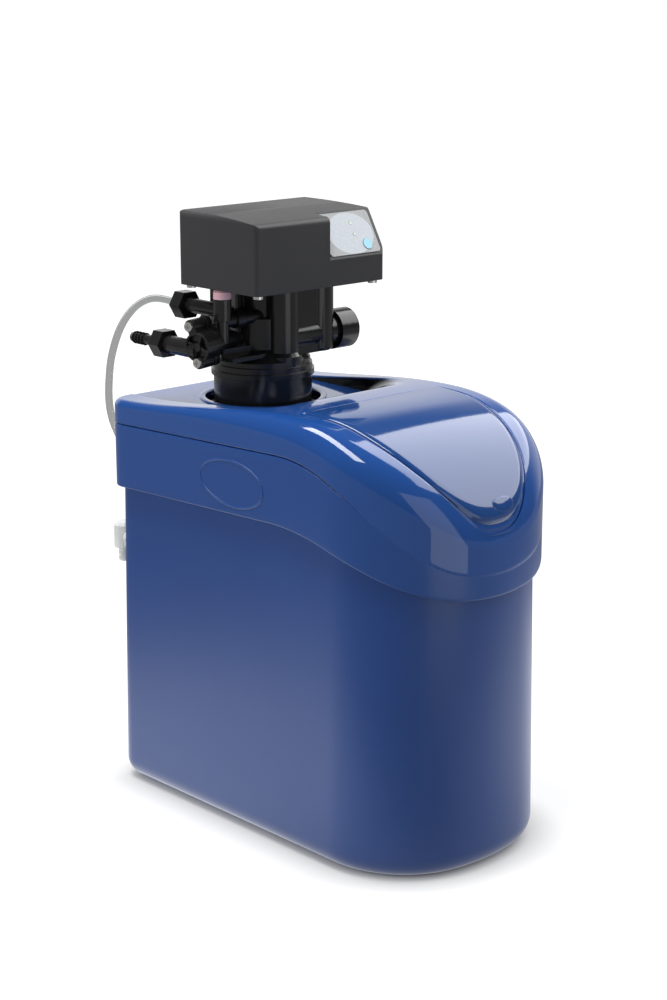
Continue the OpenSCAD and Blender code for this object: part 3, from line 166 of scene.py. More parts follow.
def panelFilm(name, ground, field, centre, half, slope, origin):
    # Printed polyester film: a plain oval field on a grey ground. Its place on the film is measured from the
    # lower edge's origin: across along x, and up the slope.
    material, tree, place = startMaterial(name)
    shifted = addNode(tree, "ShaderNodeVectorMath", {"operation": "SUBTRACT"}, i0=place,
                      i1=(centre[0] * mm, origin[0] * mm, origin[1] * mm))
    across = addNode(tree, "ShaderNodeSeparateXYZ", Vector=shifted.outputs[0]).outputs["X"]
    up = addNode(tree, "ShaderNodeVectorMath", {"operation": "DOT_PRODUCT"}, i0=shifted.outputs[0],
                 i1=(0.0, math.cos(math.radians(slope)), math.sin(math.radians(slope)))).outputs["Value"]
    u = addNode(tree, "ShaderNodeMath", {"operation": "DIVIDE"}, i0=across, i1=half[0] * mm)
    raised = addNode(tree, "ShaderNodeMath", {"operation": "SUBTRACT"}, i0=up, i1=centre[1] * mm)
    v = addNode(tree, "ShaderNodeMath", {"operation": "DIVIDE"}, i0=raised.outputs[0], i1=half[1] * mm)
    flat = addNode(tree, "ShaderNodeCombineXYZ", X=u.outputs[0], Y=v.outputs[0])
    reach = addNode(tree, "ShaderNodeVectorMath", {"operation": "LENGTH"}, i0=flat.outputs[0])
    inside = addNode(tree, "ShaderNodeMapRange", Value=reach.outputs["Value"], i1=0.98, i2=1.02,
                     i3=1.0, i4=0.0)
    colour = addNode(tree, "ShaderNodeMix", {"data_type": "RGBA"}, i0=inside.outputs[0],
                     i6=linearColour(ground), i7=linearColour(field))
    sheen = addNode(tree, "ShaderNodeTexNoise", Vector=place, Scale=1000 / 2, Detail=2.0)
    gloss = addNode(tree, "ShaderNodeMapRange", Value=sheen.outputs[0], i1=0.3, i2=0.7, i3=0.22, i4=0.3)
    endMaterial(tree, addNode(tree, "ShaderNodeBsdfPrincipled", Base_Color=colour.outputs[2],
                              Roughness=gloss.outputs[0]))
    return material


finishes = {
    "panelPrint": panelFilm("printedPolyesterFilm", "#9a9c9e", "#b9c0c8", (48.0, 25.0), (30.0, 22.0), 60.2,
                            (24.0, 556.0)),
    "satinTank": mouldedPlastic("mouldedPolyethyleneSatinBlue", "#1b3f80", "#1f468a", 0.32, 1.6, 0.01,
                                mottle=90, spread=0.02),
    # the cover's pocket side walls get a near black painted shade colour in place of their shadow and dark
    # reflection
    "glossCover": mouldedPlastic("mouldedAbsGlossBlue", "#1e4a8f", "#204d96", 0.07, 4.0, 0.01,
                                 mottle=120, coat=0.25, spread=0.015, paintedShade="#14161c"),
    "glossLid": mouldedPlastic("mouldedAbsLidBlue", "#1b437f", "#1d4686", 0.08, 4.0, 0.01,
                               mottle=120, coat=0.25, spread=0.015),
    "bandGloss": mouldedPlastic("mouldedAbsSemiGlossBlue", "#1f4789", "#214a8f", 0.28, 1.2, 0.005,
                                mottle=120, spread=0.004),
    "valveBlack": mouldedPlastic("glassFilledNylonBlack", "#191919", "#202020", 0.2, 1.2, 0.03, 40, edge=0.7),
    "boxCharcoal": mouldedPlastic("texturedAbsCharcoal", "#2e2e30", "#363638", 0.5, 0.9, 0.08, 70, edge=1.2),
    "whitePlastic": mouldedPlastic("mouldedPolypropyleneWhite", "#dfe1df", "#eceeec", 0.35, 1.5, 0.05, 40),
    "sealRubber": mouldedPlastic("mouldedNitrileRubber", "#0c0c0c", "#141414", 0.6, 0.8, 0.2, 20),
    "vesselWrap": mouldedPlastic("filamentWoundComposite", "#c9c4b4", "#ddd8c8", 0.4, 3.0, 0.3, 12),
    "pinkPlug": mouldedPlastic("mouldedAcetalPink", "#f2bac8", "#f9cfd9", 0.3, 1.0, 0.05, 15),
    "cyanButton": mouldedPlastic("silkMattKeycapCyan", "#8fcfe6", "#a6dcef", 0.35, 0.8, 0.05, 8),
    "lensClear": clearPlastic("mouldedAcrylicLens", "#e8f4e4", 0.08, 0.7, 0.95),
    "clearTube": clearTubing("extrudedPolyethyleneClear", "#ffffff", "#f1f4f4"),
    "milkySpout": clearPlastic("mouldedPolypropyleneNatural", "#e6ebe9", 0.25, 0.75, 0.95),
    "boardGreen": mouldedPlastic("solderMaskLaminate", "#0f4a2a", "#145a34", 0.3, 2.0, 0.1, 9),
    "steel": turnedSteel("headedStainlessSteel", "#e2e1dd", 0.3),
}
print("materials ready:", len(finishes))


def gridFaces(rows, cols, closed, first=0):
    # quads of a grid whose columns may close on themselves
    r = np.arange(rows - 1)[:, None]
    c = np.arange(cols if closed else cols - 1)[None, :]
    n = (c + 1) % cols
    quads = np.stack([r * cols + c, r * cols + n, (r + 1) * cols + n, (r + 1) * cols + c], -1)
    return quads.reshape(-1, 4) + first


def makePiece(name, surfaces, finish, body, replaced=(), sharp=35):
    # surfaces: (points rows x cols x 3 in mm, closed columns, flipped); doubles merge, normals turn outwards
    points, quads, first = [], [], 0
    for grid, closed, flipped in surfaces:
        rows, cols = grid.shape[:2]
        faces = gridFaces(rows, cols, closed, first)
        quads.append(faces[:, ::-1] if flipped else faces)
        points.append(grid.reshape(-1, 3))
        first += rows * cols
    mesh = bpy.data.meshes.new(name)
    mesh.from_pydata(np.concatenate(points) * mm, [], np.concatenate(quads).tolist())
    piece = bpy.data.objects.new(name, mesh)
    scene.collection.objects.link(piece)
    tidyMesh(mesh)
    mesh.polygons.foreach_set("use_smooth", np.ones(len(mesh.polygons), bool))
    mesh.set_sharp_from_angle(angle=math.radians(sharp))
    mesh.materials.append(finishes[finish])
    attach(piece, body)
    if replaced:
        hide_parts(*replaced)
    print("made", name, len(mesh.polygons), "faces")
    return piece


def tidyMesh(mesh):
    work = bmesh.new()
    work.from_mesh(mesh)
    bmesh.ops.remove_doubles(work, verts=work.verts, dist=2e-6)
    bmesh.ops.dissolve_degenerate(work, edges=work.edges, dist=1e-6)
    bmesh.ops.recalc_face_normals(work, faces=work.faces)
    work.to_mesh(mesh)
    work.free()
    mesh.update()


def ease(t):
    t = np.clip(t, 0, 1)
    return t * t * (3 - 2 * t)


cabinet = {
    "halfWidth": 119.0, "rear": 212.0, "nose": -212.0,
    "cornerR": 20.0, "noseCornerR": 100.0, "noseFrontR": 190.0,
    "footR": 22.0, "footOut": 1.0, "neckIn": 3.5, "wall": 3.5, "bandOut": 5.0, "bandWall": 3.0, "rimUp": 13.0,
    "bandEdge": (325.944, 0.032, 378.585, 0.505, 265.0),  # rear line, nose line and bend of the lower lip
    "seamEdge": (392.029, 0.037, 508.0, 1.0, 160.0),  # the same for the seam above it
    "ovalAt": (20.0, 356.0), "ovalHalf": (45.75, 22.25), "ovalTilt": 2.0, "ovalLine": 2.5, "ovalRise": 0.8,
}
cornerX = cabinet["halfWidth"] - cabinet["cornerR"]
cornerY = cabinet["rear"] - cabinet["cornerR"]
noseCx = cabinet["halfWidth"] - cabinet["noseCornerR"]
frontCy = cabinet["nose"] + cabinet["noseFrontR"]
noseCy = frontCy - math.sqrt((cabinet["noseFrontR"] - cabinet["noseCornerR"]) ** 2 - noseCx ** 2)
noseTurn = 180 + math.degrees(math.atan2(frontCy - noseCy, noseCx))


def arc(cx, cy, r, fromDeg, toDeg, count):
    # points on an arc without its last one, with the outward direction beside each
    a = np.radians(fromDeg + (toDeg - fromDeg) * np.arange(count) / count)
    out = np.stack([np.cos(a), np.sin(a)], -1)
    return np.concatenate([[cx, cy] + r * out, out], -1)


def line(start, end, out, count):
    t = (np.arange(count) / count)[:, None]
    return np.concatenate([np.array(start) * (1 - t) + np.array(end) * t, np.tile(out, (len(t), 1))], -1)


def planLoop(grow, rearCount=8, cornerCount=10, sideCount=44, noseCount=36, frontCount=14):
    # Plan of the cabinet moved outwards by grow, from the rear middle round by the left side and the nose
    w = cabinet["halfWidth"] + grow
    rear = cabinet["rear"] + grow
    noseR = cabinet["noseCornerR"] + grow
    cornerR = cabinet["cornerR"] + grow
    return np.concatenate([
        line((0, rear), (-cornerX, rear), (0, 1), rearCount),
        arc(-cornerX, cornerY, cornerR, 90, 180, cornerCount),
        line((-w, cornerY), (-w, noseCy), (-1, 0), sideCount),
        arc(-noseCx, noseCy, noseR, 180, noseTurn, noseCount),
        arc(0, frontCy, cabinet["noseFrontR"] + grow, noseTurn, 540 - noseTurn, frontCount),
        arc(noseCx, noseCy, noseR, 540 - noseTurn, 360, noseCount),
        line((w, noseCy), (w, cornerY), (1, 0), sideCount),
        arc(cornerX, cornerY, cornerR, 0, 90, cornerCount),
        line((cornerX, rear), (0, rear), (0, 1), rearCount)])


def edgeHeight(edge, y):
    # line - bend - line: a sloping rear line, an arc of the given radius and a steep nose line
    a1, s1, a2, s2, r = edge
    k1, k2 = math.hypot(1, s1), math.hypot(1, s2)
    bendY = (a1 - r * k1 - a2 + r * k2) / (s1 + s2)
    bendZ = a2 - r * k2 + s2 * bendY
    bent = bendZ + np.sqrt(np.maximum(r * r - (y - bendY) ** 2, 0))
    nosed = np.where(y < bendY - r * s2 / k2, a2 + s2 * y, bent)
    return np.where(y > bendY + r * s1 / k1, a1 - s1 * y, nosed)


def ringAt(loop, outBy, z):
    # one row of a wall: the loop moved along its outward directions, at a height that may differ by point
    xy = loop[:, :2] + loop[:, 2:] * np.asarray(outBy).reshape(-1, 1)
    return np.concatenate([xy, np.broadcast_to(np.asarray(z, float).reshape(-1, 1), (len(loop), 1))], -1)


def spineRow(loop, z):
    # the loop drawn in to the centre line, which closes a floor
    y = np.clip(loop[:, 1], noseCy, cornerY)
    return np.stack([np.zeros(len(loop)), y, np.full(len(loop), float(z))], -1)


def buildTank():
    # Profile carried round the plan: floor, foot arc, wall that draws in to the rim, and the same inside
    loop = planLoop(0)
    r, t, out, neckIn = cabinet["footR"], cabinet["wall"], cabinet["footOut"], cabinet["neckIn"]
    rim = edgeHeight(cabinet["bandEdge"], loop[:, 1]) + cabinet["rimUp"]
    foot = np.radians(np.linspace(0, 90, 13))
    rows = [spineRow(loop, 0), ringAt(loop, -r - 40, 0)]
    rows += [ringAt(loop, out - r * (1 - math.sin(a)), r * (1 - math.cos(a))) for a in foot]
    climb = np.linspace(0, 1, 9)
    rows += [ringAt(loop, out - (out + neckIn) * k, r + (rim - 0.8 - r) * k) for k in climb[1:]]
    rows += [ringAt(loop, -neckIn - 0.8, rim), ringAt(loop, 0.8 - t - neckIn, rim)]
    rows += [ringAt(loop, out - t - (out + neckIn) * k, r + (rim - 0.8 - r) * k) for k in climb[:0:-1]]
    inner = r - t
    rows += [ringAt(loop, out - t - inner * (1 - math.sin(a)), t + inner * (1 - math.cos(a)))
             for a in foot[::-1]]
    rows += [ringAt(loop, -r - 40, t), spineRow(loop, t)]
    return makePiece("cabinetTank", [(np.array(rows), True, False)], "satinTank", "cabinet",
                     ["cabinet_tank"])


def ovalLine(side):
    # Half-round bead carried round an ellipse that lies on the band's flat side
    a = np.linspace(0, 2 * math.pi, 129)[:-1]
    half, tilt = np.array(cabinet["ovalHalf"]), math.radians(cabinet["ovalTilt"])
    across = np.linspace(0, math.pi, 9)
    x0 = cabinet["halfWidth"] + cabinet["bandOut"]
    out = np.stack([np.cos(a) / half[0], np.sin(a) / half[1]], -1)
    out /= np.linalg.norm(out, axis=1)[:, None]
    base = np.stack([half[0] * np.cos(a), half[1] * np.sin(a)], -1)
    flat = base[None] + out[None] * (cabinet["ovalLine"] / 2 * np.cos(across))[:, None, None]
    y = cabinet["ovalAt"][0] + flat[..., 0] * math.cos(tilt) - flat[..., 1] * math.sin(tilt)
    z = cabinet["ovalAt"][1] + flat[..., 0] * math.sin(tilt) + flat[..., 1] * math.cos(tilt)
    x = np.broadcast_to((x0 - 0.15 + (cabinet["ovalRise"] + 0.15) * np.sin(across))[:, None], y.shape)
    return np.stack([side * x, y, z], -1), True, side > 0


def buildBand():
    # Wall between the lower lip and the seam, both edges rounded, carried round the plan
    loop = planLoop(0)
    low = edgeHeight(cabinet["bandEdge"], loop[:, 1])
    high = edgeHeight(cabinet["seamEdge"], loop[:, 1])
    out, t = cabinet["bandOut"], cabinet["bandWall"]
    turn = np.radians(np.linspace(0, 90, 6))
    rows = [ringAt(loop, out - 1.4 * (1 - math.sin(a)), low + 1.4 * (1 - math.cos(a))) for a in turn]
    rows += [ringAt(loop, out, low + 1.4 + (high - low - 2.3) * s) for s in np.linspace(0, 1, 12)[1:]]
    rows += [ringAt(loop, out - 0.9 * (1 - math.cos(a)), high - 0.9 * (1 - math.sin(a))) for a in turn[1:]]
    rows += [ringAt(loop, out - t, high), ringAt(loop, out - t, low + 0.6), ringAt(loop, out - t + 0.6, low)]
    rows.append(rows[0])
    return makePiece("rimBand", [(np.array(rows), True, False), ovalLine(-1), ovalLine(1)], "bandGloss",
                     "cabinet", ["rim_band"])


cover = {
    "half": 124.0, "rear": 217.0, "nose": -217.0, "crestY": -50.0, "crestZ": 430.0, "rearZ": 409.5,
    "drop": 140.0, "reach": 176.0, "crown": 4.0,
    "shoulderRear": 7.0, "shoulderSide": 22.0, "shoulderNose": 21.0,
    "seamGap": 1.2, "platform": 409.0, "pocketHalf": 92.0, "pocketFront": 34.0, "pocketCorner": 30.0,
    "pocketRise": 25.0,
    "pocketSpread": (24.0, 76.0, 15.0),  # growth of half width, front and corner over the rise
    "neckAt": (0.0, 114.0), "neckHole": 59.0, "neckRing": 65.0, "ringRise": 1.5, "edgeR": 2.5, "wall": 3.0,
    "pocketSteep": 2.2,  # how much steeper the pocket's wall is at its foot
    # painted shade: the pocket's side walls are darkened from this distance out from the middle
    "paintedShadeFrom": 84.0,  # only the side walls of the pocket are dark
}
lid = {
    "half": 89.0, "rear": -46.0, "length": 166.0, "power": 2.6, "proud": 1.3, "sink": 1.5, "gap": 0.8,
    "ledge": 10.0, "edgeR": 1.6, "hingeR": 4.0, "skin": 2.8, "lip": (6.0, 3.2),
    "tabAt": (9.5, -208.3), "tabHalf": (13.5, 3.2), "tabRise": 1.7,
}


def topHeight(x, y):
    # rear slope down to the rear edge, elliptic hump over the nose with a cross crown
    c = cover
    rearRun = (y - c["crestY"]) / (c["rear"] - c["crestY"])
    rearPart = c["crestZ"] - (c["crestZ"] - c["rearZ"]) * ease(rearRun)
    run = np.clip((c["crestY"] - y) / c["reach"], 0, 1)
    nosePart = c["crestZ"] - c["drop"] * (1 - np.sqrt(1 - run ** 2))
    nosePart = nosePart + c["crown"] * (1 - (x / c["half"]) ** 2) * ease((c["crestY"] - y) / 60)
    return np.where(y >= c["crestY"], rearPart, nosePart)


def shoulderR(y):
    c = cover
    rearRun = c["rear"] - 60
    sideGrowth = (c["shoulderSide"] - c["shoulderRear"]) * ease((rearRun - y) / (rearRun - noseCy))
    noseGrowth = (c["shoulderNose"] - c["shoulderSide"]) * ease((noseCy - y) / (noseCy - c["nose"]))
    return c["shoulderRear"] + sideGrowth + noseGrowth


def edgeGap(x, y):
    # distance inside the cover's outline: sides, nose corners, nose front, rear edge and rear corners
    ax = np.abs(x)
    out = cabinet["bandOut"]
    side = np.minimum(cover["half"] - ax, cover["rear"] - y)
    rearCorner = cabinet["cornerR"] + out - np.hypot(ax - cornerX, y - cornerY)
    side = np.where((ax > cornerX) & (y > cornerY), rearCorner, side)
    noseCorner = cabinet["noseCornerR"] + out - np.hypot(ax - noseCx, y - noseCy)
    noseFront = cabinet["noseFrontR"] + out - np.hypot(x, y - frontCy)
    nose = np.where(ax * (frontCy - noseCy) < noseCx * (frontCy - y), noseFront, noseCorner)
    return np.where(y > noseCy, side, nose)


def skinHeight(x, y):
    r = shoulderR(y)
    inside = np.clip(edgeGap(x, y) / r, 0, 1)
    return topHeight(x, y) - r * (1 - np.sqrt(1 - (1 - inside) ** 2))


def pocketHeight(x, y):
    # height of the flared pocket wall: how far the rounded rectangle has to grow to reach the point
    c = cover
    gw, gf, gr = c["pocketSpread"]
    ax = np.abs(x)
    side = (ax - c["pocketHalf"]) / gw
    front = (c["pocketFront"] - y) / gf
    cx, kx = c["pocketHalf"] - c["pocketCorner"], gw - gr
    cy, ky = c["pocketFront"] + c["pocketCorner"], gr - gf
    px, py = ax - cx, y - cy
    qa = kx ** 2 + ky ** 2 - gr ** 2
    qb = -2 * (px * kx + py * ky) - 2 * c["pocketCorner"] * gr
    qc = px ** 2 + py ** 2 - c["pocketCorner"] ** 2
    root = (-qb - np.sqrt(np.maximum(qb ** 2 - 4 * qa * qc, 0))) / (2 * qa)
    corner = (ax > cx + kx * root) & (y < cy + ky * root)
    t = np.maximum(np.where(corner, root, np.maximum(side, front)), 0)
    steep = 1 - (1 - np.minimum(t, 1)) ** c["pocketSteep"]
    return c["platform"] + c["pocketRise"] * (steep + np.maximum(t - 1, 0))


def smoothMin(a, b, r):
    # rounded meeting of two surfaces
    h = np.clip(0.5 + 0.5 * (b - a) / r, 0, 1)
    return b * (1 - h) + a * h - r * h * (1 - h)


def coverHeight(x, y):
    return smoothMin(skinHeight(x, y), pocketHeight(x, y), cover["edgeR"])


def lidLoop(grow, frontCount=150, rearCount=48):
    # superellipse front from the left rear corner round the nose to the right one, then the straight rear edge
    a = np.radians(np.linspace(0, 180, frontCount + 1))
    n = 2 / lid["power"]
    x = -(lid["half"] + grow) * np.sign(np.cos(a)) * np.abs(np.cos(a)) ** n
    y = lid["rear"] - (lid["length"] + grow) * np.abs(np.sin(a)) ** n
    rearX = np.linspace(1, -1, rearCount + 1)[1:-1] * (lid["half"] + grow)
    front = np.stack([x, y], -1)
    rear = np.stack([rearX, np.full(len(rearX), lid["rear"] + max(grow, 0))], -1)
    front[[0, -1], 1] = lid["rear"] + max(grow, 0)
    return np.concatenate([front, rear]), frontCount + 1


def withHeight(xy, z):
    return np.concatenate([xy, np.asarray(z)[..., None]], -1)


def buildCover():
    c = cover
    edge = lid["gap"] + lid["edgeR"]
    mouth, frontN = lidLoop(edge)
    crest = mouth[0, 1]
    phi = np.radians(np.linspace(0, 90, 29))
    inward = 1 - np.cos(phi)  # dense at the outline, where the shoulder is steepest

    # outline from the crest line on the left round the nose to the crest line on the right
    sideRun = line((-c["half"], crest), (-c["half"], noseCy), (-1, 0), 24)
    noseRun = planLoop(cabinet["bandOut"], noseCount=48, frontCount=20)
    picked = (noseRun[:, 1] < noseCy + 0.01) & (np.abs(noseRun[:, 0]) < c["half"] + 1)
    noseRun = noseRun[picked]
    noseTurned = np.arctan2(noseRun[:, 1] - frontCy, noseRun[:, 0]) % (2 * math.pi)
    sideBack = line((c["half"], noseCy), (c["half"], crest), (1, 0), 24)
    sideBack = np.concatenate([sideBack, [[c["half"], crest, 1, 0]]])
    rim = np.concatenate([sideRun, noseRun[np.argsort(noseTurned)], sideBack])
    length = np.concatenate([[0], np.cumsum(np.hypot(*np.diff(rim[:, :2], axis=0).T))])
    lidRun = np.concatenate([[0], np.cumsum(np.hypot(*np.diff(mouth[:frontN], axis=0).T))])
    share = lidRun / lidRun[-1]
    outer = np.stack([np.interp(share * length[-1], length, rim[:, i]) for i in (0, 1)], -1)
    outer = snapToOutline(outer)
    strip = outer[None] * (1 - inward)[:, None, None] + mouth[None, :frontN] * inward[:, None, None]
    hump = withHeight(strip, coverHeight(strip[..., 0], strip[..., 1]))

    # closed loop round the platform: rear edge, left side, crest line, lid's rear edge and back
    crestLine = strip[:, 0]
    rearHalf = line((0, c["rear"]), (-cornerX, c["rear"]), (0, 1), 30)[:, :2]
    corner = arc(-cornerX, cornerY, cabinet["cornerR"] + cabinet["bandOut"], 90, 180, 14)[:, :2]
    leftSide = line((-c["half"], cornerY), (-c["half"], crest), (-1, 0), 70)[:, :2]
    leftHalf = np.concatenate([rearHalf, corner, leftSide, crestLine])
    mirrored = leftHalf[::-1] * [-1, 1]
    around = np.concatenate([leftHalf, mouth[frontN:][::-1], mirrored[:-1]])
    centre = np.array(c["neckAt"])
    ray = around - centre
    hub = centre + c["neckRing"] * ray / np.linalg.norm(ray, axis=1)[:, None]
    s = np.linspace(0, 1, 500)[:, None, None]
    probe = hub[None] * (1 - s) + around[None] * s
    wallZ, skinZ = pocketHeight(probe[..., 0], probe[..., 1]), skinHeight(probe[..., 0], probe[..., 1])
    floorEnd = np.argmax((wallZ > c["platform"] + 0.01) | (s[:, :, 0] > 0.86), axis=0) / 499
    rimEnd = np.argmax((wallZ > skinZ) | (s[:, :, 0] > 0.93), axis=0) / 499
    floorEnd = np.minimum(floorEnd, rimEnd - 0.03)
    rows = [floorEnd * k for k in np.linspace(0, 0.88, 8)]
    rows += [floorEnd + (rimEnd - floorEnd) * k for k in np.linspace(-0.1, 1.05, 20)]
    rows += [rimEnd + (1 - rimEnd) * (0.05 + 0.95 * np.sin(k)) for k in phi[1:]]
    share = np.clip(np.array(rows), 0, 1)[..., None]
    flat = hub[None] * (1 - share) + around[None] * share
    deck = withHeight(flat, coverHeight(flat[..., 0], flat[..., 1]))

    # raised ring and hole round the neck
    way = (hub - centre) / c["neckRing"]
    top = c["platform"] + c["ringRise"]
    ringProfile = [(c["neckHole"], c["platform"] - 4), (c["neckHole"], top - 0.4), (c["neckHole"] + 0.4, top),
                   (c["neckRing"] - 0.8, top), (c["neckRing"] - 0.2, top - 0.3), (c["neckRing"], top - 0.8)]
    ring = [withHeight(centre + way * r, np.full(len(way), z)) for r, z in ringProfile]
    ring.append(deck[0])

    # wall below the shoulder and its rounded lower edge
    wallLoop = np.concatenate([leftHalf[:len(rearHalf) + len(corner) + len(leftSide)], outer,
                               mirrored[len(crestLine):]])
    wallOut = np.concatenate([wallLoop, outlineOut(wallLoop)], -1)
    baseZ = topHeight(wallLoop[:, 0], wallLoop[:, 1]) - shoulderR(wallLoop[:, 1])
    baseZ = np.minimum(baseZ, coverHeight(wallLoop[:, 0], wallLoop[:, 1]))
    low = edgeHeight(cabinet["seamEdge"], wallLoop[:, 1]) + c["seamGap"]
    turn = np.radians(np.linspace(0, 90, 5))
    wall = [ringAt(wallOut, 0, baseZ + (low + 0.8 - baseZ) * k) for k in np.linspace(0, 1, 8)]
    wall += [ringAt(wallOut, -0.8 * (1 - math.cos(a)), low + 0.8 * (1 - math.sin(a))) for a in turn[1:]]
    wall.append(ringAt(wallOut, -3.3, low))
    wall.append(ringAt(wallOut, -3.3, low - 4))

    # seat of the lid: rounded edge, step, ledge and the mouth's inner wall
    seat = []
    z0 = coverHeight(mouth[:, 0], mouth[:, 1])
    for a in np.radians([0, 30, 60, 90]):
        xy = lidLoop(edge - lid["edgeR"] * math.sin(a))[0]
        seat.append(withHeight(xy, z0 - lid["edgeR"] * (1 - math.cos(a))))
    xy = lidLoop(lid["gap"])[0]
    ledgeZ = skinHeight(xy[:, 0], xy[:, 1]) - lid["sink"] - 0.3
    seat.append(withHeight(xy, ledgeZ))
    xy = lidLoop(-lid["ledge"])[0]
    ledgeZ = skinHeight(xy[:, 0], xy[:, 1]) - lid["sink"] - 0.3
    seat.append(withHeight(xy, ledgeZ))
    surfaces = [(hump, False, False), (deck, True, False), (np.array(ring), True, False),
                (np.array(wall), True, False), (np.array(seat), True, False)]
    piece = makePiece("topCover", surfaces, "glossCover", "cabinet", ["top_cover"], 50)
    # painted shade on the pocket's side walls
    markPaintedShade(piece.data)
    thick = piece.modifiers.new("wallThickness", "SOLIDIFY")
    thick.thickness = c["wall"] * mm
    thick.offset = -1
    return piece


def markPaintedShade(mesh):
    # marks painted shade on the pocket's side walls between platform and rim; the cover's material darkens them
    # there
    spots = np.empty(len(mesh.vertices) * 3)
    mesh.vertices.foreach_get("co", spots)
    x, y, z = spots.reshape(-1, 3).T / mm
    wallZ = pocketHeight(x, y)
    onWall = (wallZ > cover["platform"] + 0.3) & (wallZ < skinHeight(x, y) - 1.5)
    onWall &= z > cover["platform"] - 0.5
    shadeWeight = onWall * ease((np.abs(x) - cover["paintedShadeFrom"]) / 8)
    shadeLayer = mesh.attributes.new("paintedShade", "FLOAT", "POINT")
    shadeLayer.data.foreach_set("value", shadeWeight.astype(np.float32))


def outlineOut(xy):
    # outward direction of the cover's outline at points on it
    step = 0.05
    gx = edgeGap(xy[:, 0] + step, xy[:, 1]) - edgeGap(xy[:, 0] - step, xy[:, 1])
    gy = edgeGap(xy[:, 0], xy[:, 1] + step) - edgeGap(xy[:, 0], xy[:, 1] - step)
    out = -np.stack([gx, gy], -1)
    return out / np.linalg.norm(out, axis=1)[:, None]


def snapToOutline(xy):
    # points near the outline are moved straight onto it
    for _ in range(3):
        xy = xy + outlineOut(xy) * edgeGap(xy[:, 0], xy[:, 1])[:, None]
    return xy


def lidHeight(x, y):
    # the lid's top follows the hump, a little proud of it
    return topHeight(x, y) + lid["proud"]


def buildLid():
    # shell: rim with a rounded upper edge, top, and an inner face set off by the skin
    base, frontN = lidLoop(0)
    middle = np.array([0, lid["rear"] - 0.4 * lid["length"]])
    way = middle - base
    way /= np.linalg.norm(way, axis=1)[:, None]
    topZ = lidHeight(base[:, 0], base[:, 1])
    skinZ = skinHeight(base[:, 0], base[:, 1])
    hinged = ease((base[:, 1] - lid["rear"] + 14) / 12)
    lipIn = lid["lip"][0] + (lid["hingeR"] - lid["lip"][0]) * hinged
    lipDown = lid["lip"][1] + (lid["hingeR"] - lid["lip"][1]) * hinged
    bottom = np.minimum(skinZ - lid["sink"], topZ - lipDown - 0.3)
    under = 4.0
    rows = []
    for share in (0.0, 0.35, 0.7, 0.92):
        xy = middle + (base + way * under - middle) * share
        rows.append(withHeight(xy, lidHeight(xy[:, 0], xy[:, 1]) - lid["skin"]))
    xy = base + way * under
    rows.append(withHeight(xy, np.minimum(lidHeight(xy[:, 0], xy[:, 1]) - lid["skin"], bottom + 8)))
    rows.append(withHeight(xy, bottom))
    rows.append(withHeight(base + way * 0.3, bottom))
    rows.append(withHeight(base, bottom + 0.3))
    for a in np.radians(np.linspace(0, 90, 10)):
        xy = base + way * (lipIn * (1 - math.cos(a)))[:, None]
        rows.append(withHeight(xy, lidHeight(xy[:, 0], xy[:, 1]) - lipDown * (1 - math.sin(a))))
    inner = base + way * lipIn[:, None]
    for share in np.linspace(1, 0, 40)[1:]:
        xy = middle + (inner - middle) * share
        rows.append(withHeight(xy, lidHeight(xy[:, 0], xy[:, 1])))
    a = np.linspace(0, 2 * math.pi, 65)[:-1]
    tab = []
    for share, rise in ((1.0, -0.4), (1.0, 0.25), (0.96, 0.55), (0.88, 0.7), (0.6, 0.75), (0.0, 0.75)):
        x = lid["tabAt"][0] + lid["tabHalf"][0] * share * np.cos(a)
        y = lid["tabAt"][1] + lid["tabHalf"][1] * share * np.sin(a)
        narrowed = (1 - np.abs(x / lid["half"]) ** lid["power"]) ** (1 / lid["power"])
        frontY = lid["rear"] - lid["length"] * narrowed
        turned = np.clip(1 - (y - frontY) / lid["lip"][0], 0, 1)
        drop = lid["lip"][1] * (1 - np.sqrt(1 - turned ** 2))
        tab.append(np.stack([x, y, lidHeight(x, y) - drop + lid["tabRise"] / 0.75 * rise], -1))
    return makePiece("saltLid", [(np.array(rows), True, False), (np.array(tab), True, False)], "glossLid",
                     "lid", ["salt_lid"], 50)


tube = {
    "d": 8.0, "wall": 1.1,
    "route": [(-66, 158, 506), (-66, 175, 506), (-66, 192, 507), (-66, 208, 506), (-67, 223, 501), (-69, 237, 492),
              (-71, 249, 480), (-73, 258, 466), (-75, 264, 450), (-78, 267, 433), (-80, 267, 417), (-83, 265, 401),
              (-86, 260, 386), (-88, 252, 372), (-90, 241, 361), (-92, 228, 354), (-92, 216, 352), (-92, 206, 351),
              (-92, 196, 347), (-92, 186, 339), (-92, 179, 328), (-92, 176, 315), (-92, 176, 304)],
}


def smoothRoute(points, perSpan):
    # uniform cubic B-spline that starts and ends on the route's own ends and keeps inside its corners
    p = np.array(points, float)
    p = np.concatenate([[2 * p[0] - p[1]], p, [2 * p[-1] - p[-2]]])
    t = (np.arange(perSpan) / perSpan)[None, :, None]
    a, b, c, d = p[:-3, None], p[1:-2, None], p[2:-1, None], p[3:, None]
    curve = ((1 - t) ** 3 * a + (3 * t ** 3 - 6 * t ** 2 + 4) * b
             + (3 * t * (1 + t - t ** 2) + 1) * c + t ** 3 * d) / 6
    return np.concatenate([curve.reshape(-1, 3), p[-2][None]])


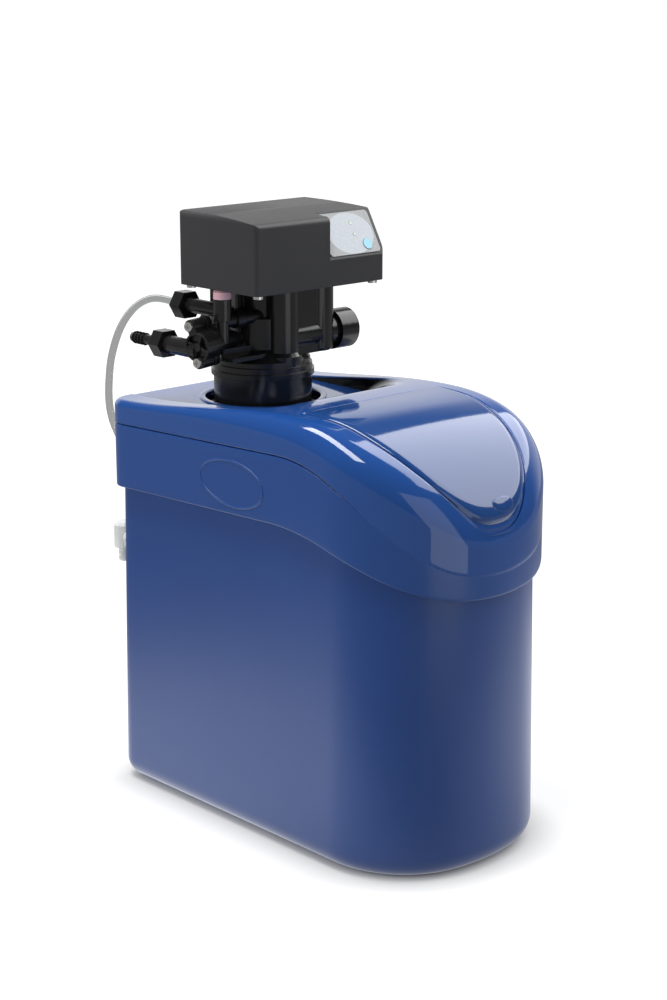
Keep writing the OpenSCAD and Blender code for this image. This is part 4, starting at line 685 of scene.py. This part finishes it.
def buildTube():
    # circle carried along the route, its frame turned from an axis that the route never meets, with a bore
    path = smoothRoute(tube["route"], 8)
    along = np.gradient(path, axis=0)
    along /= np.linalg.norm(along, axis=1)[:, None]
    sideways = np.cross(along, np.array([1.0, 0.0, 0.0]))
    sideways /= np.linalg.norm(sideways, axis=1)[:, None]
    third = np.cross(along, sideways)
    a = np.linspace(0, 2 * math.pi, 25)[:-1]
    ringOut = sideways[:, None] * np.cos(a)[None, :, None] + third[:, None] * np.sin(a)[None, :, None]
    outside = path[:, None] + ringOut * tube["d"] / 2
    bore = path[:, None] + ringOut * (tube["d"] / 2 - tube["wall"])
    skin = np.concatenate([outside, bore[::-1], outside[:1]])
    piece = makePiece("brineTube", [(skin, True, False)], "clearTube", "cabinet", ["brine_tube"])
    return piece


buildTube()
buildTank()
buildBand()
buildCover()
buildLid()

slotFinish = {
    "tank_plastic": "satinTank", "cover_plastic": "glossCover", "valve_plastic": "valveBlack",
    "box_plastic": "boxCharcoal", "white_plastic": "whitePlastic", "clear_tube": "clearTube",
    "vessel_composite": "vesselWrap", "seal_rubber": "sealRubber", "stainless": "steel",
    "pink_plastic": "pinkPlug",
    "panel_film": "panelPrint", "button_plastic": "cyanButton", "lens_plastic": "lensClear",
    "board_laminate": "boardGreen",
}


def smoothGroup():
    # welds a node's loose triangles and shades them smooth below the angle
    group = bpy.data.node_groups.new("weldAndSmooth", "GeometryNodeTree")
    group.interface.new_socket("Geometry", in_out="INPUT", socket_type="NodeSocketGeometry")
    group.interface.new_socket("Geometry", in_out="OUTPUT", socket_type="NodeSocketGeometry")
    start = addNode(group, "NodeGroupInput")
    weld = addNode(group, "GeometryNodeMergeByDistance", Geometry=start.outputs[0], Distance=1e-6)
    angle = addNode(group, "GeometryNodeInputMeshEdgeAngle")
    flat = addNode(group, "FunctionNodeCompare", {"data_type": "FLOAT", "operation": "LESS_THAN"},
                   A=angle.outputs[0], B=math.radians(28))
    faces = addNode(group, "GeometryNodeSetShadeSmooth", {"domain": "FACE"}, Geometry=weld.outputs[0])
    faces.inputs["Shade Smooth"].default_value = True
    edges = addNode(group, "GeometryNodeSetShadeSmooth", {"domain": "EDGE"}, Geometry=faces.outputs[0])
    group.links.new(flat.outputs[0], edges.inputs["Shade Smooth"])
    addNode(group, "NodeGroupOutput", i0=edges.outputs[0])
    return group


nodeFinish = {"overflow_elbow": "milkySpout"}
slotOf = {row["node"]: row["material_slot"] for row in frame["record"]["subparts"]}
weldAndSmooth = smoothGroup()
for name, piece in nodes.items():
    if piece.hide_render:
        continue
    finish = finishes[nodeFinish.get(name, slotFinish[slotOf[name]])]
    piece.data.materials.clear()
    piece.data.materials.append(finish)
    change = piece.modifiers.new("weldAndSmooth", "NODES")
    change.node_group = weldAndSmooth
print("nodes dressed")

stage = {
    "floorSize": 30.0, "floorTone": "#a8a8a8", "liftEdge": (0.6, 2.4), "lift": (0.7, 1.0),
    # painted contact shadow: within this reach the floor's white lift is dimmed by ambient occlusion
    "contactShadow": 0.04,  # reach of the dark line where an object meets the floor
    # pools of light on the floor as glossy surfaces mirror them: place, inner and outer radius, strength
    "pools": [((-0.25, 0.2, 0.0), 0.1, 0.62, 1.5), ((0.5, -0.25, 0.0), 0.15, 0.65, 1.1)], "poolFloor": 0.35,
    "ambient": 0.16, "backdropWay": (0.69, 0.72), "backdropTop": (0.36, 0.62), "backdropSide": (0.35, 0.7),
    "dimTone": 0.13,
}
lamps = {
    # name: place, aim, size, watts, seen in reflections
    "softboxRight": ((1.75, -0.55, 2.0), (0.0, -0.37, 0.45), (2.65, 1.6), 54, True),
    "stripOverhead": ((-0.45, 0.25, 2.05), (-0.53, 0.03, 0.0), (0.5, 1.7), 30, True),
    "cardFront": ((-0.03, -1.0, 0.5), (-0.03, 0.0, 0.5), (0.63, 1.0), 1.8, True),
    "fillLeft": ((-2.2, 0.9, 1.0), (0.0, 0.0, 0.3), (1.2, 1.2), 26, False),
}


def raySum(tree, *kinds):
    # 1 for the kinds of ray that look straight at the background
    seen = addNode(tree, "ShaderNodeLightPath")
    total = seen.outputs[kinds[0]]
    for kind in kinds[1:]:
        either = addNode(tree, "ShaderNodeMath", {"operation": "MAXIMUM"}, i0=total, i1=seen.outputs[kind])
        total = either.outputs[0]
    return total


def buildStage():
    mesh = bpy.data.meshes.new("studioFloor")
    h = stage["floorSize"] / 2
    mesh.from_pydata([(-h, -h, 0), (h, -h, 0), (h, h, 0), (-h, h, 0)], [], [(0, 1, 2, 3)])
    floor = bpy.data.objects.new("studioFloor", mesh)
    scene.collection.objects.link(floor)
    material, tree, place = startMaterial("paintedStudioFloor")
    plain = addNode(tree, "ShaderNodeBsdfDiffuse", Color=linearColour(stage["floorTone"]))

    def fade(centre, inner, outer, near, far):
        away = addNode(tree, "ShaderNodeVectorMath", {"operation": "DISTANCE"}, i0=place, i1=centre)
        return addNode(tree, "ShaderNodeMapRange", {"interpolation_type": "SMOOTHSTEP"},
                       Value=away.outputs["Value"], i1=inner, i2=outer, i3=near, i4=far).outputs[0]

    # painted contact shadow: near the objects the white lift fades, which leaves a dark line
    contactShadow = addNode(tree, "ShaderNodeAmbientOcclusion", Distance=stage["contactShadow"])
    lifted = addNode(tree, "ShaderNodeMath", {"operation": "MULTIPLY"}, i0=contactShadow.outputs["AO"],
                     i1=fade((0.0, 0.0, 0.0), *stage["liftEdge"], *stage["lift"]))
    part = addNode(tree, "ShaderNodeMath", {"operation": "MULTIPLY"},
                   i0=raySum(tree, "Is Camera Ray", "Is Transmission Ray"), i1=lifted.outputs[0])
    bright = addNode(tree, "ShaderNodeEmission", Strength=part.outputs[0])
    seen = addNode(tree, "ShaderNodeAddShader", i0=plain.outputs[0], i1=bright.outputs[0])
    level = stage["poolFloor"]
    for centre, inner, outer, strength in stage["pools"]:
        level = addNode(tree, "ShaderNodeMath", {"operation": "ADD"}, i0=level,
                        i1=fade(centre, inner, outer, strength, 0.0)).outputs[0]
    mirrored = addNode(tree, "ShaderNodeEmission", Strength=level)
    endMaterial(tree, addNode(tree, "ShaderNodeMixShader", i0=raySum(tree, "Is Glossy Ray"),
                              i1=seen.outputs[0], i2=mirrored.outputs[0]))
    mesh.materials.append(material)


def buildWorld():
    # white for what looks straight out; a glossy surface sees a white backdrop behind the object, dim above it
    world = bpy.data.worlds.new("whiteStudio")
    scene.world = world
    world.use_nodes = True
    tree = world.node_tree
    tree.nodes.clear()
    way = addNode(tree, "ShaderNodeTexCoord").outputs["Object"]
    height = addNode(tree, "ShaderNodeSeparateXYZ", Vector=way).outputs["Z"]
    facing = addNode(tree, "ShaderNodeVectorMath", {"operation": "DOT_PRODUCT"}, i0=way,
                     i1=(*stage["backdropWay"], 0.0)).outputs["Value"]
    low = addNode(tree, "ShaderNodeMapRange", {"interpolation_type": "SMOOTHSTEP"}, Value=height,
                  i1=stage["backdropTop"][0], i2=stage["backdropTop"][1], i3=1.0, i4=0.0)
    rear = addNode(tree, "ShaderNodeMapRange", {"interpolation_type": "SMOOTHSTEP"}, Value=facing,
                   i1=stage["backdropSide"][0], i2=stage["backdropSide"][1], i3=0.0, i4=1.0)
    both = addNode(tree, "ShaderNodeMath", {"operation": "MULTIPLY"}, i0=low.outputs[0], i1=rear.outputs[0])
    mirrored = addNode(tree, "ShaderNodeMapRange", Value=both.outputs[0], i1=0.0, i2=1.0,
                       i3=stage["dimTone"], i4=1.0)
    glossy = addNode(tree, "ShaderNodeMix", i0=raySum(tree, "Is Glossy Ray"), i2=stage["ambient"],
                     i3=mirrored.outputs[0])
    level = addNode(tree, "ShaderNodeMix", i0=raySum(tree, "Is Camera Ray", "Is Transmission Ray"),
                    i2=glossy.outputs[0], i3=1.0)
    back = addNode(tree, "ShaderNodeBackground", Color=(1, 1, 1, 1), Strength=level.outputs[0])
    addNode(tree, "ShaderNodeOutputWorld", Surface=back.outputs[0])


def addLamp(name, place, aim, size, watts, mirrored):
    data = bpy.data.lights.new(name, "AREA")
    data.shape = "RECTANGLE"
    data.size, data.size_y = size
    data.energy = watts
    lamp = bpy.data.objects.new(name, data)
    lamp.location = place
    lamp.rotation_euler = (Vector(aim) - Vector(place)).to_track_quat("-Z", "Y").to_euler()
    lamp.visible_glossy = mirrored
    lamp.visible_camera = False
    scene.collection.objects.link(lamp)


buildStage()
buildWorld()
for name, setting in lamps.items():
    addLamp(name, *setting)
print("stage and lamps set")
